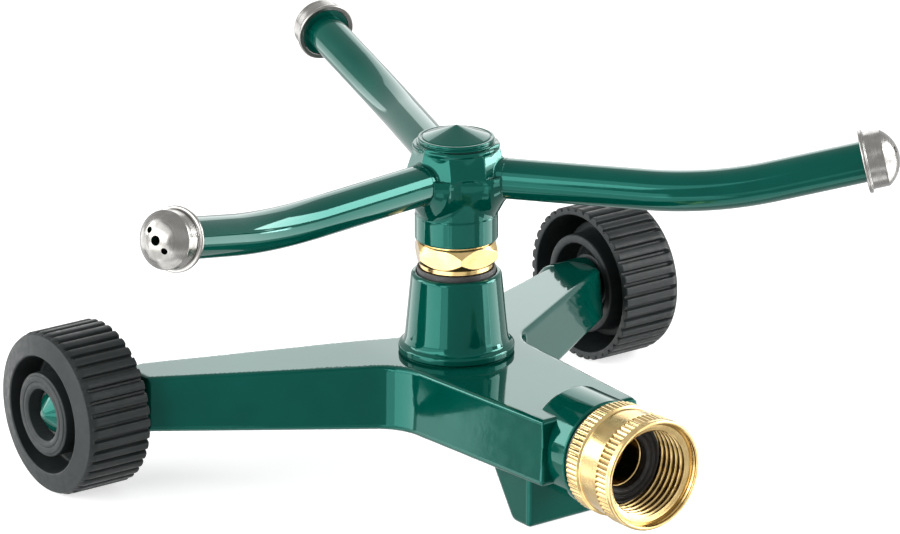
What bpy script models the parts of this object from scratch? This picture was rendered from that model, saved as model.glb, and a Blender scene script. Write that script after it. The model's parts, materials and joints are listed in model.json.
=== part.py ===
"""Three-arm rotary lawn sprinkler on a wheeled cast base.

The model frame has +Z up, the ground at Z = 0, the wheel axles along X and the hose inlet facing -Y.
While the pieces are made, the spin axis of the head stands at X = 0, Y = 0. At the end everything is
moved so that the middle of the footprint lies at the origin.
"""

from math import acos, atan, cos, pi, radians, sin, sqrt, tan

import bmesh
import bpy
from mathutils import Matrix, Vector

MM = 0.001

# Clearances
SEAT_GAP = 0.3 * MM
RUNNING_GAP = 0.3 * MM

# Wheels
WHEEL_RADIUS = 25.5 * MM
WHEEL_RIM_WIDTH = 21.4 * MM
WHEEL_INNER_FACE_X = 91.9 * MM
WHEEL_RIB_COUNT = 40
WHEEL_RIB_HEIGHT = 1.4 * MM
WHEEL_RIB_TIP_SHARE = 0.60
WHEEL_RIB_ROOT_SHARE = 0.26
WHEEL_RIM_WALL = 2.7 * MM
WHEEL_EDGE_DROP = 0.9 * MM
WHEEL_EDGE_LENGTH = 2.0 * MM
WHEEL_FACE_RISE = 1.7 * MM
WHEEL_FACE_WALL = 3.0 * MM
HUB_RING_RADIUS = 13.1 * MM
HUB_GROOVE_RADIUS = 18.2 * MM
HUB_GROOVE_DEPTH = 10.8 * MM
HUB_GROOVE_WALL = 1.1 * MM
HUB_TUBE_RADIUS = 16.3 * MM
HUB_TUBE_BORE = 13.3 * MM
HUB_NOSE_RADIUS = 9.2 * MM
HUB_NOSE_DEPTH = 3.9 * MM
HUB_RECESS_DEPTH = 9.0 * MM
HUB_POCKET_RADIUS = 8.0 * MM
HUB_POCKET_DEPTH = 5.6 * MM

# Stub axles, cast with the base and peened over after the wheel is on
AXLE_Y = 57.0 * MM
AXLE_Z = WHEEL_RADIUS
AXLE_RADIUS = 5.0 * MM
AXLE_BOSS_RADIUS = 8.3 * MM
AXLE_BOSS_LENGTH = 14.0 * MM
AXLE_BOSS_TAPER = 9.0 * MM
AXLE_HEAD_RADIUS = 6.3 * MM
AXLE_HEAD_THICKNESS = 2.2 * MM
AXLE_HEAD_CONE = 1.6 * MM
WHEEL_WASHER_THICKNESS = 0.7 * MM
WHEEL_WASHER_RADIUS = 7.3 * MM

# Three-way base casting
BASE_TOP = 38.7 * MM
BASE_BOTTOM = 18.2 * MM
BASE_DRAFT = 1.5 * MM
LEG_SLOPE_START_X = 20.0 * MM
LEG_END_DROP = 2.5 * MM
LEG_END_RISE = 1.0 * MM
LEG_WHEEL_GAP = 3.0 * MM
LEG_FRONT_ROOT_Y = -18.4 * MM
LEG_FRONT_END_Y = 39.4 * MM
LEG_REAR_ROOT_Y = 18.6 * MM
LEG_REAR_END_Y = 58.6 * MM
INLET_ARM_HALF_WIDTH = 24.0 * MM
INLET_ARM_END_HALF_WIDTH = 19.0 * MM
INLET_ARM_END_Y = -66.0 * MM
CROTCH_FILLET = 15.0 * MM
REAR_FILLET = 20.0 * MM
END_CORNER_FILLET = 3.6 * MM
REAR_CORNER_FILLET = 7.0 * MM
EDGE_ROUNDING = 1.5 * MM
LEG_POCKET_WALL = 3.0 * MM
LEG_POCKET_ROOF = 3.5 * MM
LEG_POCKET_START_X = 27.0 * MM
LEG_POCKET_END_X = 72.0 * MM

# Tower on the base
TOWER_TOP = 64.4 * MM
TOWER_TOP_RADIUS = 13.9 * MM
TOWER_EDGE = 1.5 * MM
TOWER_FOOT_RADIUS = 15.9 * MM
TOWER_FOOT_Z = 44.0 * MM
FLANGE_RADIUS = 17.9 * MM
FLANGE_THICKNESS = 3.2 * MM
POST_SEAT_DEPTH = 2.7 * MM
POST_HOLE_DEPTH = 16.0 * MM

# Inlet barrel and foot
INLET_Z = 27.0 * MM
BARREL_RADIUS = 16.5 * MM
BARREL_BACK_Y = -57.3 * MM
BARREL_FACE_Y = -75.4 * MM
BARREL_EDGE = 1.0 * MM
WATERWAY_RADIUS = 7.2 * MM
WATERWAY_END_Y = 7.0 * MM
FOOT_HALF_WIDTH = 13.6 * MM
FOOT_FRONT_Y = -55.0 * MM
FOOT_HEEL_Y = -46.4 * MM
FOOT_ROOT_Y = -32.8 * MM
FOOT_ROUNDING = 0.9 * MM

# Hose coupling
TAIL_RADIUS = 10.1 * MM
TAIL_BORE = 7.5 * MM
TAIL_DEPTH = 11.5 * MM
TAIL_FLANGE_RADIUS = 12.5 * MM
TAIL_FLANGE_THICKNESS = 1.8 * MM
INLET_GASKET_RADIUS = 16.0 * MM
INLET_GASKET_THICKNESS = 0.9 * MM
NUT_LENGTH = 21.1 * MM
NUT_RIM_RADIUS = 17.0 * MM
NUT_BAND_RADIUS = 17.1 * MM
NUT_WAIST_RADIUS = 16.3 * MM
NUT_REAR_BAND = 5.5 * MM
NUT_FRONT_BAND_START = 14.6 * MM
NUT_FRONT_BAND_END = 19.4 * MM
NUT_LIP_THICKNESS = 2.5 * MM
NUT_THREAD_RADIUS = 12.9 * MM
NUT_MOUTH_RADIUS = 15.3 * MM
NUT_MOUTH_DEPTH = 2.0 * MM
HOSE_WASHER_BORE = 8.0 * MM
HOSE_WASHER_THICKNESS = 3.0 * MM

# Bearing post
POST_GASKET_THICKNESS = 1.2 * MM
POST_SHOULDER_WIDTH = 2.4 * MM
POST_BORE = 4.6 * MM
HEX_BOTTOM = 67.6 * MM
HEX_HEIGHT = 6.7 * MM
HEX_ACROSS_FLATS = 24.0 * MM
HEX_CHAMFER_HEIGHT = 2.6 * MM
POST_STEM_RADIUS = 7.5 * MM
POST_END_RADIUS = 6.6 * MM
POST_END_LENGTH = 4.6 * MM
THRUST_WASHER_THICKNESS = 1.0 * MM
O_RING_SECTION = 0.65 * MM
O_RING_Z = 82.6 * MM
LOCK_NUT_RADIUS = 9.0 * MM
LOCK_NUT_THICKNESS = 3.3 * MM

# Turning head
HEAD_BOTTOM = 75.1 * MM
HEAD_TOP = 105.2 * MM
HEAD_RADIUS = 12.5 * MM
HEAD_SKIRT_RADIUS = 12.7 * MM
HEAD_SKIRT_WALL = 1.0 * MM
HEAD_SKIRT_TOP = 82.8 * MM
HEAD_CROWN_RADIUS = 13.4 * MM
HEAD_CROWN_START = 97.3 * MM
HEAD_CROWN_BEAD = 1.4 * MM
HEAD_SKIRT_DEPTH = 2.3 * MM
HEAD_LAND_LENGTH = 11.0 * MM
HEAD_CHAMBER_RADIUS = 9.9 * MM
BOSS_TIP = 15.8 * MM
BOSS_SHOULDER = 12.8 * MM
BOSS_RADIUS = 9.7 * MM
SPIGOT_LENGTH = 6.5 * MM
SPIGOT_BORE = 3.5 * MM
CAP_DISC_RADIUS = 11.7 * MM
CAP_DISC_THICKNESS = 0.9 * MM
CAP_CONE_HEIGHT = 3.7 * MM
CAP_PLUG_DEPTH = 3.6 * MM
CAP_GASKET_THICKNESS = 0.6 * MM

# Arms and nozzles
ARM_COUNT = 3
ARM_REST_AZIMUTH = radians(188.7)
ARM_Z = 95.1 * MM
ARM_TUBE_RADIUS = 6.25 * MM
ARM_TUBE_WALL = 1.05 * MM
ARM_CORNER = 79.1 * MM
ARM_SIDE_BEND = radians(12.5)
ARM_RISE = radians(13.4)
ARM_BEND_RADIUS = 123.0 * MM
ARM_OUTER_LENGTH = 47.0 * MM
CAP_LENGTH = 11.0 * MM
CAP_FLANGE_RADIUS = 9.7 * MM
CAP_FLANGE_THICKNESS = 1.2 * MM
CAP_BODY_RADIUS = 8.7 * MM
CAP_BODY_LENGTH = 6.2 * MM
CAP_SHEET = 0.7 * MM
SLEEVE_LENGTH = 4.6 * MM
NOZZLE_SEAL_THICKNESS = 0.9 * MM
NOZZLE_SEAL_BORE = 4.4 * MM
JET_CENTRE_RADIUS = 1.6 * MM
JET_SIDE_RADIUS = 0.8 * MM
JET_SPACING = 3.95 * MM
JET_ROW_TURN = radians(-42.0)

# Facets on round pieces
LARGE_STEPS = 36
MEDIUM_STEPS = 24
SMALL_STEPS = 18
TUBE_SIDES = 16

# Places that follow from the sizes
ALONG_INLET = Matrix.Rotation(pi / 2, 4, "X")
NUT_REAR_Y = BARREL_FACE_Y - SEAT_GAP - INLET_GASKET_THICKNESS - RUNNING_GAP
TAIL_FLANGE_REAR_Y = NUT_REAR_Y - NUT_LIP_THICKNESS - RUNNING_GAP
TAIL_FACE_Y = TAIL_FLANGE_REAR_Y - TAIL_FLANGE_THICKNESS
LEG_END_X = WHEEL_INNER_FACE_X - LEG_WHEEL_GAP
POST_NECK_RADIUS = HEAD_SKIRT_RADIUS - HEAD_SKIRT_WALL - RUNNING_GAP
POST_THREAD_RADIUS = POST_NECK_RADIUS - POST_SHOULDER_WIDTH
POST_SEAT_Z = TOWER_TOP - POST_SEAT_DEPTH
POST_HOLE_Z = POST_SEAT_Z - POST_HOLE_DEPTH
POST_NECK_Z = POST_SEAT_Z + POST_GASKET_THICKNESS + 2 * SEAT_GAP
HEX_TOP = HEX_BOTTOM + HEX_HEIGHT
HEAD_SHOULDER_Z = HEAD_BOTTOM + HEAD_SKIRT_DEPTH
POST_SHOULDER_Z = HEAD_SHOULDER_Z - THRUST_WASHER_THICKNESS - 2 * SEAT_GAP
HEAD_LAND_TOP = HEAD_SHOULDER_Z + HEAD_LAND_LENGTH
UPPER_WASHER_Z = HEAD_LAND_TOP + SEAT_GAP
POST_STEP_Z = UPPER_WASHER_Z + THRUST_WASHER_THICKNESS
HEAD_BORE = POST_STEM_RADIUS + RUNNING_GAP
ARM_BORE = ARM_TUBE_RADIUS - ARM_TUBE_WALL
WHEEL_WIDTH = WHEEL_RIM_WIDTH + WHEEL_FACE_RISE
WHEEL_OUTER_FACE_X = WHEEL_INNER_FACE_X + WHEEL_WIDTH
AXLE_BOSS_END_X = WHEEL_INNER_FACE_X + HUB_NOSE_DEPTH - RUNNING_GAP
HUB_POCKET_FLOOR_X = WHEEL_OUTER_FACE_X - HUB_POCKET_DEPTH
AXLE_HEAD_X = HUB_POCKET_FLOOR_X + WHEEL_WASHER_THICKNESS + 2 * RUNNING_GAP

COLOURS = {
    "green_enamel": ((0.0, 0.075, 0.045), 0.12, 0.0),
    "black_plastic": ((0.018, 0.020, 0.021), 0.45, 0.0),
    "black_rubber": ((0.012, 0.012, 0.013), 0.60, 0.0),
    "brass": ((0.80, 0.52, 0.16), 0.22, 1.0),
    "stainless": ((0.72, 0.71, 0.69), 0.18, 1.0),
    "white_nylon": ((0.70, 0.68, 0.62), 0.40, 0.0),
}

parts = bpy.data.collections.new("rotary_sprinkler")
cutters = bpy.data.collections.new("cutters")


def clear_scene():
    for old in list(bpy.data.objects):
        bpy.data.objects.remove(old, do_unlink=True)
    for collection in (parts, cutters):
        bpy.context.scene.collection.children.link(collection)
    cutters.hide_render = True


def make_material(name):
    colour, roughness, metallic = COLOURS[name]
    material = bpy.data.materials.new(name)
    material.use_nodes = True
    shader = material.node_tree.nodes["Principled BSDF"]
    shader.inputs["Base Color"].default_value = (*colour, 1.0)
    shader.inputs["Roughness"].default_value = roughness
    shader.inputs["Metallic"].default_value = metallic
    return material


def baked_mesh(source):
    """The evaluated mesh of an object in world places, with loose caps welded on."""
    depsgraph = bpy.context.evaluated_depsgraph_get()
    mesh = bpy.data.meshes.new_from_object(source.evaluated_get(depsgraph))
    shape = bmesh.new()
    shape.from_mesh(mesh)
    bmesh.ops.remove_doubles(shape, verts=shape.verts, dist=1e-7)
    bmesh.ops.dissolve_limit(shape, angle_limit=radians(0.1), verts=shape.verts, edges=shape.edges)
    bmesh.ops.recalc_face_normals(shape, faces=shape.faces)
    shape.to_mesh(mesh)
    shape.free()
    mesh.transform(source.matrix_world)
    return mesh


def bake(source):
    """Replace an object by a plain mesh object with its modifiers or curve settings applied."""
    bpy.context.view_layer.update()
    mesh = baked_mesh(source)
    plain = bpy.data.objects.new("solid", mesh)
    bpy.data.objects.remove(source, do_unlink=True)
    cutters.objects.link(plain)
    return plain


def turned(profile, steps, place=Matrix.Identity(4), ring=False):
    """A turned solid: (radius, height) points that run down the outer side, spun about local Z."""
    mesh = bpy.data.meshes.new("turned")
    points = [(radius, 0.0, height) for radius, height in profile]
    edges = [(index, index + 1) for index in range(len(points) - 1)]
    if ring:
        edges.append((len(points) - 1, 0))
    mesh.from_pydata(points, edges, [])
    solid = bpy.data.objects.new("turned", mesh)
    cutters.objects.link(solid)
    screw = solid.modifiers.new("spin", "SCREW")
    screw.steps = steps
    screw.render_steps = steps
    screw.use_merge_vertices = True
    screw.merge_threshold = 1e-6
    solid.matrix_world = place
    return bake(solid)


def washer(inner, outer, bottom, thickness, steps, place=Matrix.Identity(4)):
    top = bottom + thickness
    return turned([(inner, top), (outer, top), (outer, bottom), (inner, bottom)], steps, place, ring=True)


def rod(radius, bottom, top, steps, place=Matrix.Identity(4)):
    return turned([(0.0, top), (radius, top), (radius, bottom), (0.0, bottom)], steps, place)


def rounded_outline(corners, steps):
    """A closed outline with each (x, y, fillet radius) corner rounded by an arc."""
    outline = []
    count = len(corners)
    for index, (x, y, radius) in enumerate(corners):
        corner = Vector((x, y))
        before = (Vector(corners[index - 1][:2]) - corner).normalized()
        after = (Vector(corners[(index + 1) % count][:2]) - corner).normalized()
        half_angle = before.angle(after) / 2
        centre = corner + (before + after).normalized() * (radius / sin(half_angle))
        start = corner + before * (radius / tan(half_angle)) - centre
        sweep = pi - 2 * half_angle
        if before.x * after.y - before.y * after.x > 0:
            sweep = -sweep
        for step in range(steps + 1):
            turn = Matrix.Rotation(sweep * step / steps, 2)
            outline.append(centre + turn @ start)
    return outline


def plate(outline, bottom, top, rounding=0.0, rounding_steps=1):
    """A flat outline made thick between two heights, with its edges rounded inwards."""
    curve = bpy.data.curves.new("outline", "CURVE")
    curve.dimensions = "2D"
    curve.fill_mode = "BOTH"
    curve.extrude = (top - bottom) / 2 - rounding
    curve.bevel_depth = rounding
    curve.bevel_resolution = rounding_steps
    curve.offset = -rounding
    spline = curve.splines.new("POLY")
    spline.points.add(len(outline) - 1)
    for point, place in zip(spline.points, outline):
        point.co = (place[0], place[1], 0.0, 1.0)
    spline.use_cyclic_u = True
    solid = bpy.data.objects.new("plate", curve)
    cutters.objects.link(solid)
    solid.location = (0.0, 0.0, (bottom + top) / 2)
    return bake(solid)


def combine(body, tool, operation):
    """Join a tool to a body, or cut it out, and drop the tool."""
    boolean = body.modifiers.new(operation.lower(), "BOOLEAN")
    boolean.operation = operation
    boolean.solver = "EXACT"
    boolean.object = tool
    result = bake(body)
    bpy.data.objects.remove(tool, do_unlink=True)
    return result


def join(body, *tools):
    for tool in tools:
        body = combine(body, tool, "UNION")
    return body


def cut(body, *tools):
    for tool in tools:
        body = combine(body, tool, "DIFFERENCE")
    return body


def finish(solid, name, material, frame, smooth_angle=35.0):
    """Name a solid, give it its material and hang it on the empty that carries it."""
    solid.name = name
    solid.data.name = name
    solid.data.materials.clear()
    solid.data.materials.append(material)
    solid.data.shade_smooth()
    solid.data.set_sharp_from_angle(angle=radians(smooth_angle))
    cutters.objects.unlink(solid)
    parts.objects.link(solid)
    world = solid.matrix_world.copy()
    solid.data.transform(frame.matrix_world.inverted() @ world)
    solid.parent = frame
    solid.matrix_parent_inverse = Matrix.Identity(4)
    solid.matrix_world = frame.matrix_world
    return solid


def copy_of(solid, name, frame):
    """A repeated piece: its own object with the same mesh, on its own frame."""
    twin = bpy.data.objects.new(name, solid.data)
    parts.objects.link(twin)
    twin.parent = frame
    twin.matrix_world = frame.matrix_world
    return twin


def make_frame(name, place, carrier=None):
    """An empty at a joint axis or a seat, hung on the empty that carries it."""
    frame = bpy.data.objects.new(name, None)
    frame.empty_display_size = 10 * MM
    parts.objects.link(frame)
    frame.parent = carrier
    frame.matrix_world = place
    bpy.context.view_layer.update()
    return frame


def leg_edge(root_y, end_y, x):
    """Y of a leg's front or rear edge at a distance x from the middle plane."""
    return root_y + (end_y - root_y) * x / LEG_END_X


def base_outline():
    """Plan of the base: two legs and the inlet arm, mirrored about X = 0."""
    leg_slope = (LEG_FRONT_END_Y - LEG_FRONT_ROOT_Y) / LEG_END_X
    arm_slope = (INLET_ARM_HALF_WIDTH - INLET_ARM_END_HALF_WIDTH) / -INLET_ARM_END_Y
    crotch_y = (LEG_FRONT_ROOT_Y + leg_slope * INLET_ARM_HALF_WIDTH) / (1 - leg_slope * arm_slope)
    crotch_x = INLET_ARM_HALF_WIDTH + arm_slope * crotch_y
    right = [
        (LEG_END_X, LEG_REAR_END_Y, REAR_CORNER_FILLET),
        (LEG_END_X, LEG_FRONT_END_Y, END_CORNER_FILLET),
        (crotch_x, crotch_y, CROTCH_FILLET),
        (INLET_ARM_END_HALF_WIDTH, INLET_ARM_END_Y, END_CORNER_FILLET),
    ]
    left = [(-x, y, radius) for x, y, radius in reversed(right)]
    return rounded_outline([(0.0, LEG_REAR_ROOT_Y, REAR_FILLET)] + right + left, 5)


def shape_casting(body, outline):
    """Give the flat plate its draft, and slope the top and bottom of both legs towards the wheels."""
    shape = bmesh.new()
    shape.from_mesh(body.data)
    for side in (-1, 1):
        everything = shape.verts[:] + shape.edges[:] + shape.faces[:]
        start = (side * LEG_SLOPE_START_X, 0.0, 0.0)
        bmesh.ops.bisect_plane(shape, geom=everything, dist=1e-7, plane_co=start, plane_no=(side, 0.0, 0.0))
    count = len(outline)
    for vertex in shape.verts:
        share = (vertex.co.z - BASE_BOTTOM) / (BASE_TOP - BASE_BOTTOM)
        along_leg = max(0.0, abs(vertex.co.x) - LEG_SLOPE_START_X) / (LEG_END_X - LEG_SLOPE_START_X)
        vertex.co.z += along_leg * (LEG_END_RISE * (1 - share) - LEG_END_DROP * share)
        here = vertex.co.xy
        nearest = min(range(count), key=lambda index: (outline[index] - here).length_squared)
        before = (outline[nearest] - outline[nearest - 1]).normalized()
        after = (outline[(nearest + 1) % count] - outline[nearest]).normalized()
        inward = Vector(((before + after).y, -(before + after).x)).normalized()
        vertex.co.xy = here + inward * (BASE_DRAFT * share)
    shape.to_mesh(body.data)
    shape.free()


def leg_pocket(side):
    """The hollow on the underside of one leg."""
    corners = []
    for x in (LEG_POCKET_START_X, LEG_POCKET_END_X):
        front = leg_edge(LEG_FRONT_ROOT_Y, LEG_FRONT_END_Y, x) + LEG_POCKET_WALL
        rear = leg_edge(LEG_REAR_ROOT_Y, LEG_REAR_END_Y, x) - LEG_POCKET_WALL
        corners.append((side * x, front, END_CORNER_FILLET))
        corners.append((side * x, rear, END_CORNER_FILLET))
    outline = rounded_outline([corners[0], corners[2], corners[3], corners[1]], 2)
    roof = BASE_TOP - LEG_END_DROP - LEG_POCKET_ROOF
    return plate(outline, BASE_BOTTOM - LEG_POCKET_ROOF, roof)


def tower_solid():
    edge = TOWER_EDGE
    profile = [(0.0, TOWER_TOP)]
    for step in range(4):
        angle = pi / 2 * (1 - step / 3)
        radius = TOWER_TOP_RADIUS - edge + edge * cos(angle)
        profile.append((radius, TOWER_TOP - edge + edge * sin(angle)))
    flange_top = BASE_TOP + FLANGE_THICKNESS
    flare = FLANGE_RADIUS - TOWER_FOOT_RADIUS
    profile.append((TOWER_FOOT_RADIUS, TOWER_FOOT_Z))
    profile.append((TOWER_FOOT_RADIUS + 0.30 * flare, flange_top + 0.2 * MM))
    profile.append((TOWER_FOOT_RADIUS + 0.75 * flare, flange_top - 0.5 * MM))
    profile.append((FLANGE_RADIUS, flange_top - 1.4 * MM))
    profile.append((FLANGE_RADIUS, BASE_TOP + 0.9 * MM))
    profile.append((FLANGE_RADIUS - 0.7 * MM, BASE_TOP + 0.1 * MM))
    profile.append((FLANGE_RADIUS - 0.7 * MM, BASE_TOP - 3.0 * MM))
    profile.append((0.0, BASE_TOP - 3.0 * MM))
    return turned(profile, LARGE_STEPS)


def barrel_solid():
    """The round barrel of the inlet; local +Z of the profile points along the inlet, to -Y."""
    place = Matrix.Translation((0.0, 0.0, INLET_Z)) @ ALONG_INLET
    front = -BARREL_FACE_Y
    back = -BARREL_BACK_Y
    inner = BARREL_RADIUS - BARREL_EDGE
    profile = [(0.0, front), (inner, front), (BARREL_RADIUS, front - BARREL_EDGE),
               (BARREL_RADIUS, back + BARREL_EDGE), (inner, back), (0.0, back)]
    return turned(profile, LARGE_STEPS, place)


def foot_solid():
    """The wedge foot under the barrel, drawn as its side outline and made wide along X."""
    root_z = BASE_BOTTOM + 2 * MM
    corners = [(FOOT_FRONT_Y, 0.0, FOOT_ROUNDING), (FOOT_HEEL_Y, 0.0, 3 * MM),
               (FOOT_ROOT_Y, root_z, FOOT_ROUNDING), (FOOT_FRONT_Y, root_z, FOOT_ROUNDING)]
    block = plate(rounded_outline(corners, 3), -FOOT_HALF_WIDTH, FOOT_HALF_WIDTH, FOOT_ROUNDING)
    drawn_from_the_side = Matrix(((0, 0, 1), (1, 0, 0), (0, 1, 0))).to_4x4()
    block.matrix_world = drawn_from_the_side @ block.matrix_world
    return block


def axle_solid(side):
    """Boss, stub axle and peened head on one side; local +Z points out along the axle."""
    place = Matrix.Translation((0.0, AXLE_Y, AXLE_Z)) @ Matrix.Rotation(side * pi / 2, 4, "Y")
    boss_start = AXLE_BOSS_END_X - AXLE_BOSS_LENGTH
    rim = AXLE_HEAD_X + AXLE_HEAD_THICKNESS
    profile = [
        (0.0, rim + AXLE_HEAD_CONE),
        (AXLE_HEAD_RADIUS - 0.5 * MM, rim),
        (AXLE_HEAD_RADIUS, rim - 0.6 * MM),
        (AXLE_RADIUS, AXLE_HEAD_X),
        (AXLE_RADIUS, AXLE_BOSS_END_X),
        (AXLE_BOSS_RADIUS, AXLE_BOSS_END_X),
        (AXLE_BOSS_RADIUS, boss_start),
        (0.35 * AXLE_BOSS_RADIUS, boss_start - AXLE_BOSS_TAPER),
        (0.0, boss_start - AXLE_BOSS_TAPER),
    ]
    return turned(profile, MEDIUM_STEPS, place)


def make_base(frame, green):
    outline = base_outline()
    body = plate(outline, BASE_BOTTOM, BASE_TOP, EDGE_ROUNDING)
    shape_casting(body, outline)
    body = join(body, barrel_solid(), foot_solid(), axle_solid(-1), axle_solid(1), tower_solid())
    inlet = Matrix.Translation((0.0, 0.0, INLET_Z)) @ ALONG_INLET
    tail_hole = rod(TAIL_RADIUS + SEAT_GAP, -BARREL_FACE_Y - TAIL_DEPTH - SEAT_GAP, -BARREL_FACE_Y + MM,
                    MEDIUM_STEPS, inlet)
    waterway = rod(WATERWAY_RADIUS, -WATERWAY_END_Y, -BARREL_FACE_Y, SMALL_STEPS, inlet)
    riser = rod(WATERWAY_RADIUS, INLET_Z, POST_SEAT_Z, SMALL_STEPS)
    post_hole = turned([
        (0.0, TOWER_TOP + MM),
        (POST_NECK_RADIUS + 3 * SEAT_GAP, TOWER_TOP + MM),
        (POST_NECK_RADIUS + 3 * SEAT_GAP, POST_SEAT_Z),
        (POST_THREAD_RADIUS + SEAT_GAP, POST_SEAT_Z),
        (POST_THREAD_RADIUS + SEAT_GAP, POST_HOLE_Z),
        (0.0, POST_HOLE_Z),
    ], MEDIUM_STEPS)
    body = cut(body, tail_hole, waterway, riser, post_hole, leg_pocket(-1), leg_pocket(1))
    finish(body, "base_casting", green, frame)


def wheel_outline():
    """Ribbed outline of a wheel, a rib standing at each pitch."""
    root = WHEEL_RADIUS - WHEEL_RIB_HEIGHT
    pitch = 2 * pi / WHEEL_RIB_COUNT
    tip_share = WHEEL_RIB_TIP_SHARE / 2
    root_share = 0.5 - WHEEL_RIB_ROOT_SHARE / 2
    rib_points = (
        (root, -root_share),
        (WHEEL_RADIUS, -tip_share),
        (WHEEL_RADIUS, tip_share),
        (root, root_share),
    )
    outline = []
    for rib in range(WHEEL_RIB_COUNT):
        for radius, offset in rib_points:
            angle = (rib + offset) * pitch
            outline.append((radius * cos(angle), radius * sin(angle)))
    return outline


def make_wheels(left_frame, right_frame, plastic):
    """Both wheels share one mesh; its local +Z points outwards, from the inner face at zero."""
    between_ribs = Matrix.Rotation(pi / WHEEL_RIB_COUNT, 4, "Z")
    edge_radius = WHEEL_RADIUS - WHEEL_EDGE_DROP
    beyond = WHEEL_WIDTH + MM
    envelope = turned([
        (0.0, WHEEL_WIDTH),
        (HUB_GROOVE_RADIUS - MM, WHEEL_WIDTH),
        (edge_radius, WHEEL_RIM_WIDTH),
        (WHEEL_RADIUS + MM / 10, WHEEL_RIM_WIDTH - WHEEL_EDGE_LENGTH),
        (WHEEL_RADIUS + MM / 10, 0.0),
        (0.0, 0.0),
    ], WHEEL_RIB_COUNT, between_ribs)
    body = combine(plate(wheel_outline(), -MM, beyond), envelope, "INTERSECT")
    groove_floor = WHEEL_WIDTH - HUB_GROOVE_DEPTH
    cavity_roof = WHEEL_WIDTH - WHEEL_FACE_WALL
    groove = washer(HUB_RING_RADIUS, HUB_GROOVE_RADIUS, groove_floor, beyond - groove_floor,
                    WHEEL_RIB_COUNT, between_ribs)
    cavity_radius = HUB_GROOVE_RADIUS + HUB_GROOVE_WALL
    cavity = washer(cavity_radius, WHEEL_RADIUS - WHEEL_RIM_WALL, -MM, cavity_roof + MM, LARGE_STEPS)
    step = washer(HUB_TUBE_RADIUS, cavity_radius + MM / 2, -MM, groove_floor - WHEEL_FACE_WALL + MM,
                  LARGE_STEPS)
    recess = turned([
        (0.0, HUB_NOSE_DEPTH),
        (HUB_NOSE_RADIUS, HUB_NOSE_DEPTH),
        (HUB_NOSE_RADIUS, HUB_RECESS_DEPTH),
        (HUB_TUBE_BORE, HUB_RECESS_DEPTH),
        (HUB_TUBE_BORE, -MM),
        (0.0, -MM),
    ], MEDIUM_STEPS)
    bore = turned([
        (0.0, beyond),
        (HUB_POCKET_RADIUS, beyond),
        (HUB_POCKET_RADIUS, WHEEL_WIDTH - HUB_POCKET_DEPTH),
        (AXLE_RADIUS + RUNNING_GAP, WHEEL_WIDTH - HUB_POCKET_DEPTH),
        (AXLE_RADIUS + RUNNING_GAP, HUB_NOSE_DEPTH - MM),
        (0.0, HUB_NOSE_DEPTH - MM),
    ], MEDIUM_STEPS)
    body = cut(body, groove, cavity, step, recess, bore)
    body.data.transform(Matrix.Translation((0.0, 0.0, WHEEL_INNER_FACE_X)))
    body.matrix_world = right_frame.matrix_world
    right = finish(body, "right_wheel", plastic, right_frame)
    copy_of(right, "left_wheel", left_frame)


def make_wheel_washers(frame, steel):
    bottom = HUB_POCKET_FLOOR_X + RUNNING_GAP
    for name, side in (("left_wheel_washer", -1), ("right_wheel_washer", 1)):
        place = Matrix.Translation((0.0, AXLE_Y, AXLE_Z)) @ Matrix.Rotation(side * pi / 2, 4, "Y")
        ring = washer(AXLE_RADIUS + SEAT_GAP, WHEEL_WASHER_RADIUS, bottom, WHEEL_WASHER_THICKNESS,
                      SMALL_STEPS, place)
        finish(ring, name, steel, frame)


def make_inlet(frame, coupling_frame, brass, rubber):
    inlet = Matrix.Translation((0.0, 0.0, INLET_Z)) @ ALONG_INLET
    gasket = washer(TAIL_RADIUS + SEAT_GAP, INLET_GASKET_RADIUS, -BARREL_FACE_Y + SEAT_GAP,
                    INLET_GASKET_THICKNESS, MEDIUM_STEPS, inlet)
    finish(gasket, "inlet_gasket", rubber, frame)
    tail_end = -BARREL_FACE_Y - TAIL_DEPTH
    tail = turned([
        (TAIL_BORE, -TAIL_FACE_Y),
        (TAIL_FLANGE_RADIUS, -TAIL_FACE_Y),
        (TAIL_FLANGE_RADIUS, -TAIL_FLANGE_REAR_Y),
        (TAIL_RADIUS, -TAIL_FLANGE_REAR_Y),
        (TAIL_RADIUS, tail_end),
        (TAIL_BORE, tail_end),
    ], MEDIUM_STEPS, inlet, ring=True)
    finish(tail, "inlet_tailpiece", brass, frame)
    rear = -NUT_REAR_Y
    front = rear + NUT_LENGTH
    nut = turned([
        (NUT_MOUTH_RADIUS, front),
        (NUT_RIM_RADIUS - 0.3 * MM, front),
        (NUT_RIM_RADIUS, rear + NUT_FRONT_BAND_END + 0.2 * MM),
        (NUT_BAND_RADIUS, rear + NUT_FRONT_BAND_END),
        (NUT_BAND_RADIUS, rear + NUT_FRONT_BAND_START),
        (NUT_WAIST_RADIUS, rear + NUT_FRONT_BAND_START - 0.6 * MM),
        (NUT_WAIST_RADIUS, rear + NUT_REAR_BAND + 0.6 * MM),
        (NUT_BAND_RADIUS, rear + NUT_REAR_BAND),
        (NUT_BAND_RADIUS, rear + 0.6 * MM),
        (NUT_BAND_RADIUS - 0.6 * MM, rear),
        (TAIL_RADIUS + RUNNING_GAP, rear),
        (TAIL_RADIUS + RUNNING_GAP, rear + NUT_LIP_THICKNESS),
        (NUT_THREAD_RADIUS, rear + NUT_LIP_THICKNESS),
        (NUT_THREAD_RADIUS, front - NUT_MOUTH_DEPTH),
    ], LARGE_STEPS, inlet, ring=True)
    finish(nut, "hose_coupling_nut", brass, coupling_frame)
    seal = washer(HOSE_WASHER_BORE, NUT_THREAD_RADIUS - RUNNING_GAP, -TAIL_FACE_Y + SEAT_GAP,
                  HOSE_WASHER_THICKNESS, MEDIUM_STEPS, inlet)
    finish(seal, "hose_washer", rubber, coupling_frame)


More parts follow.
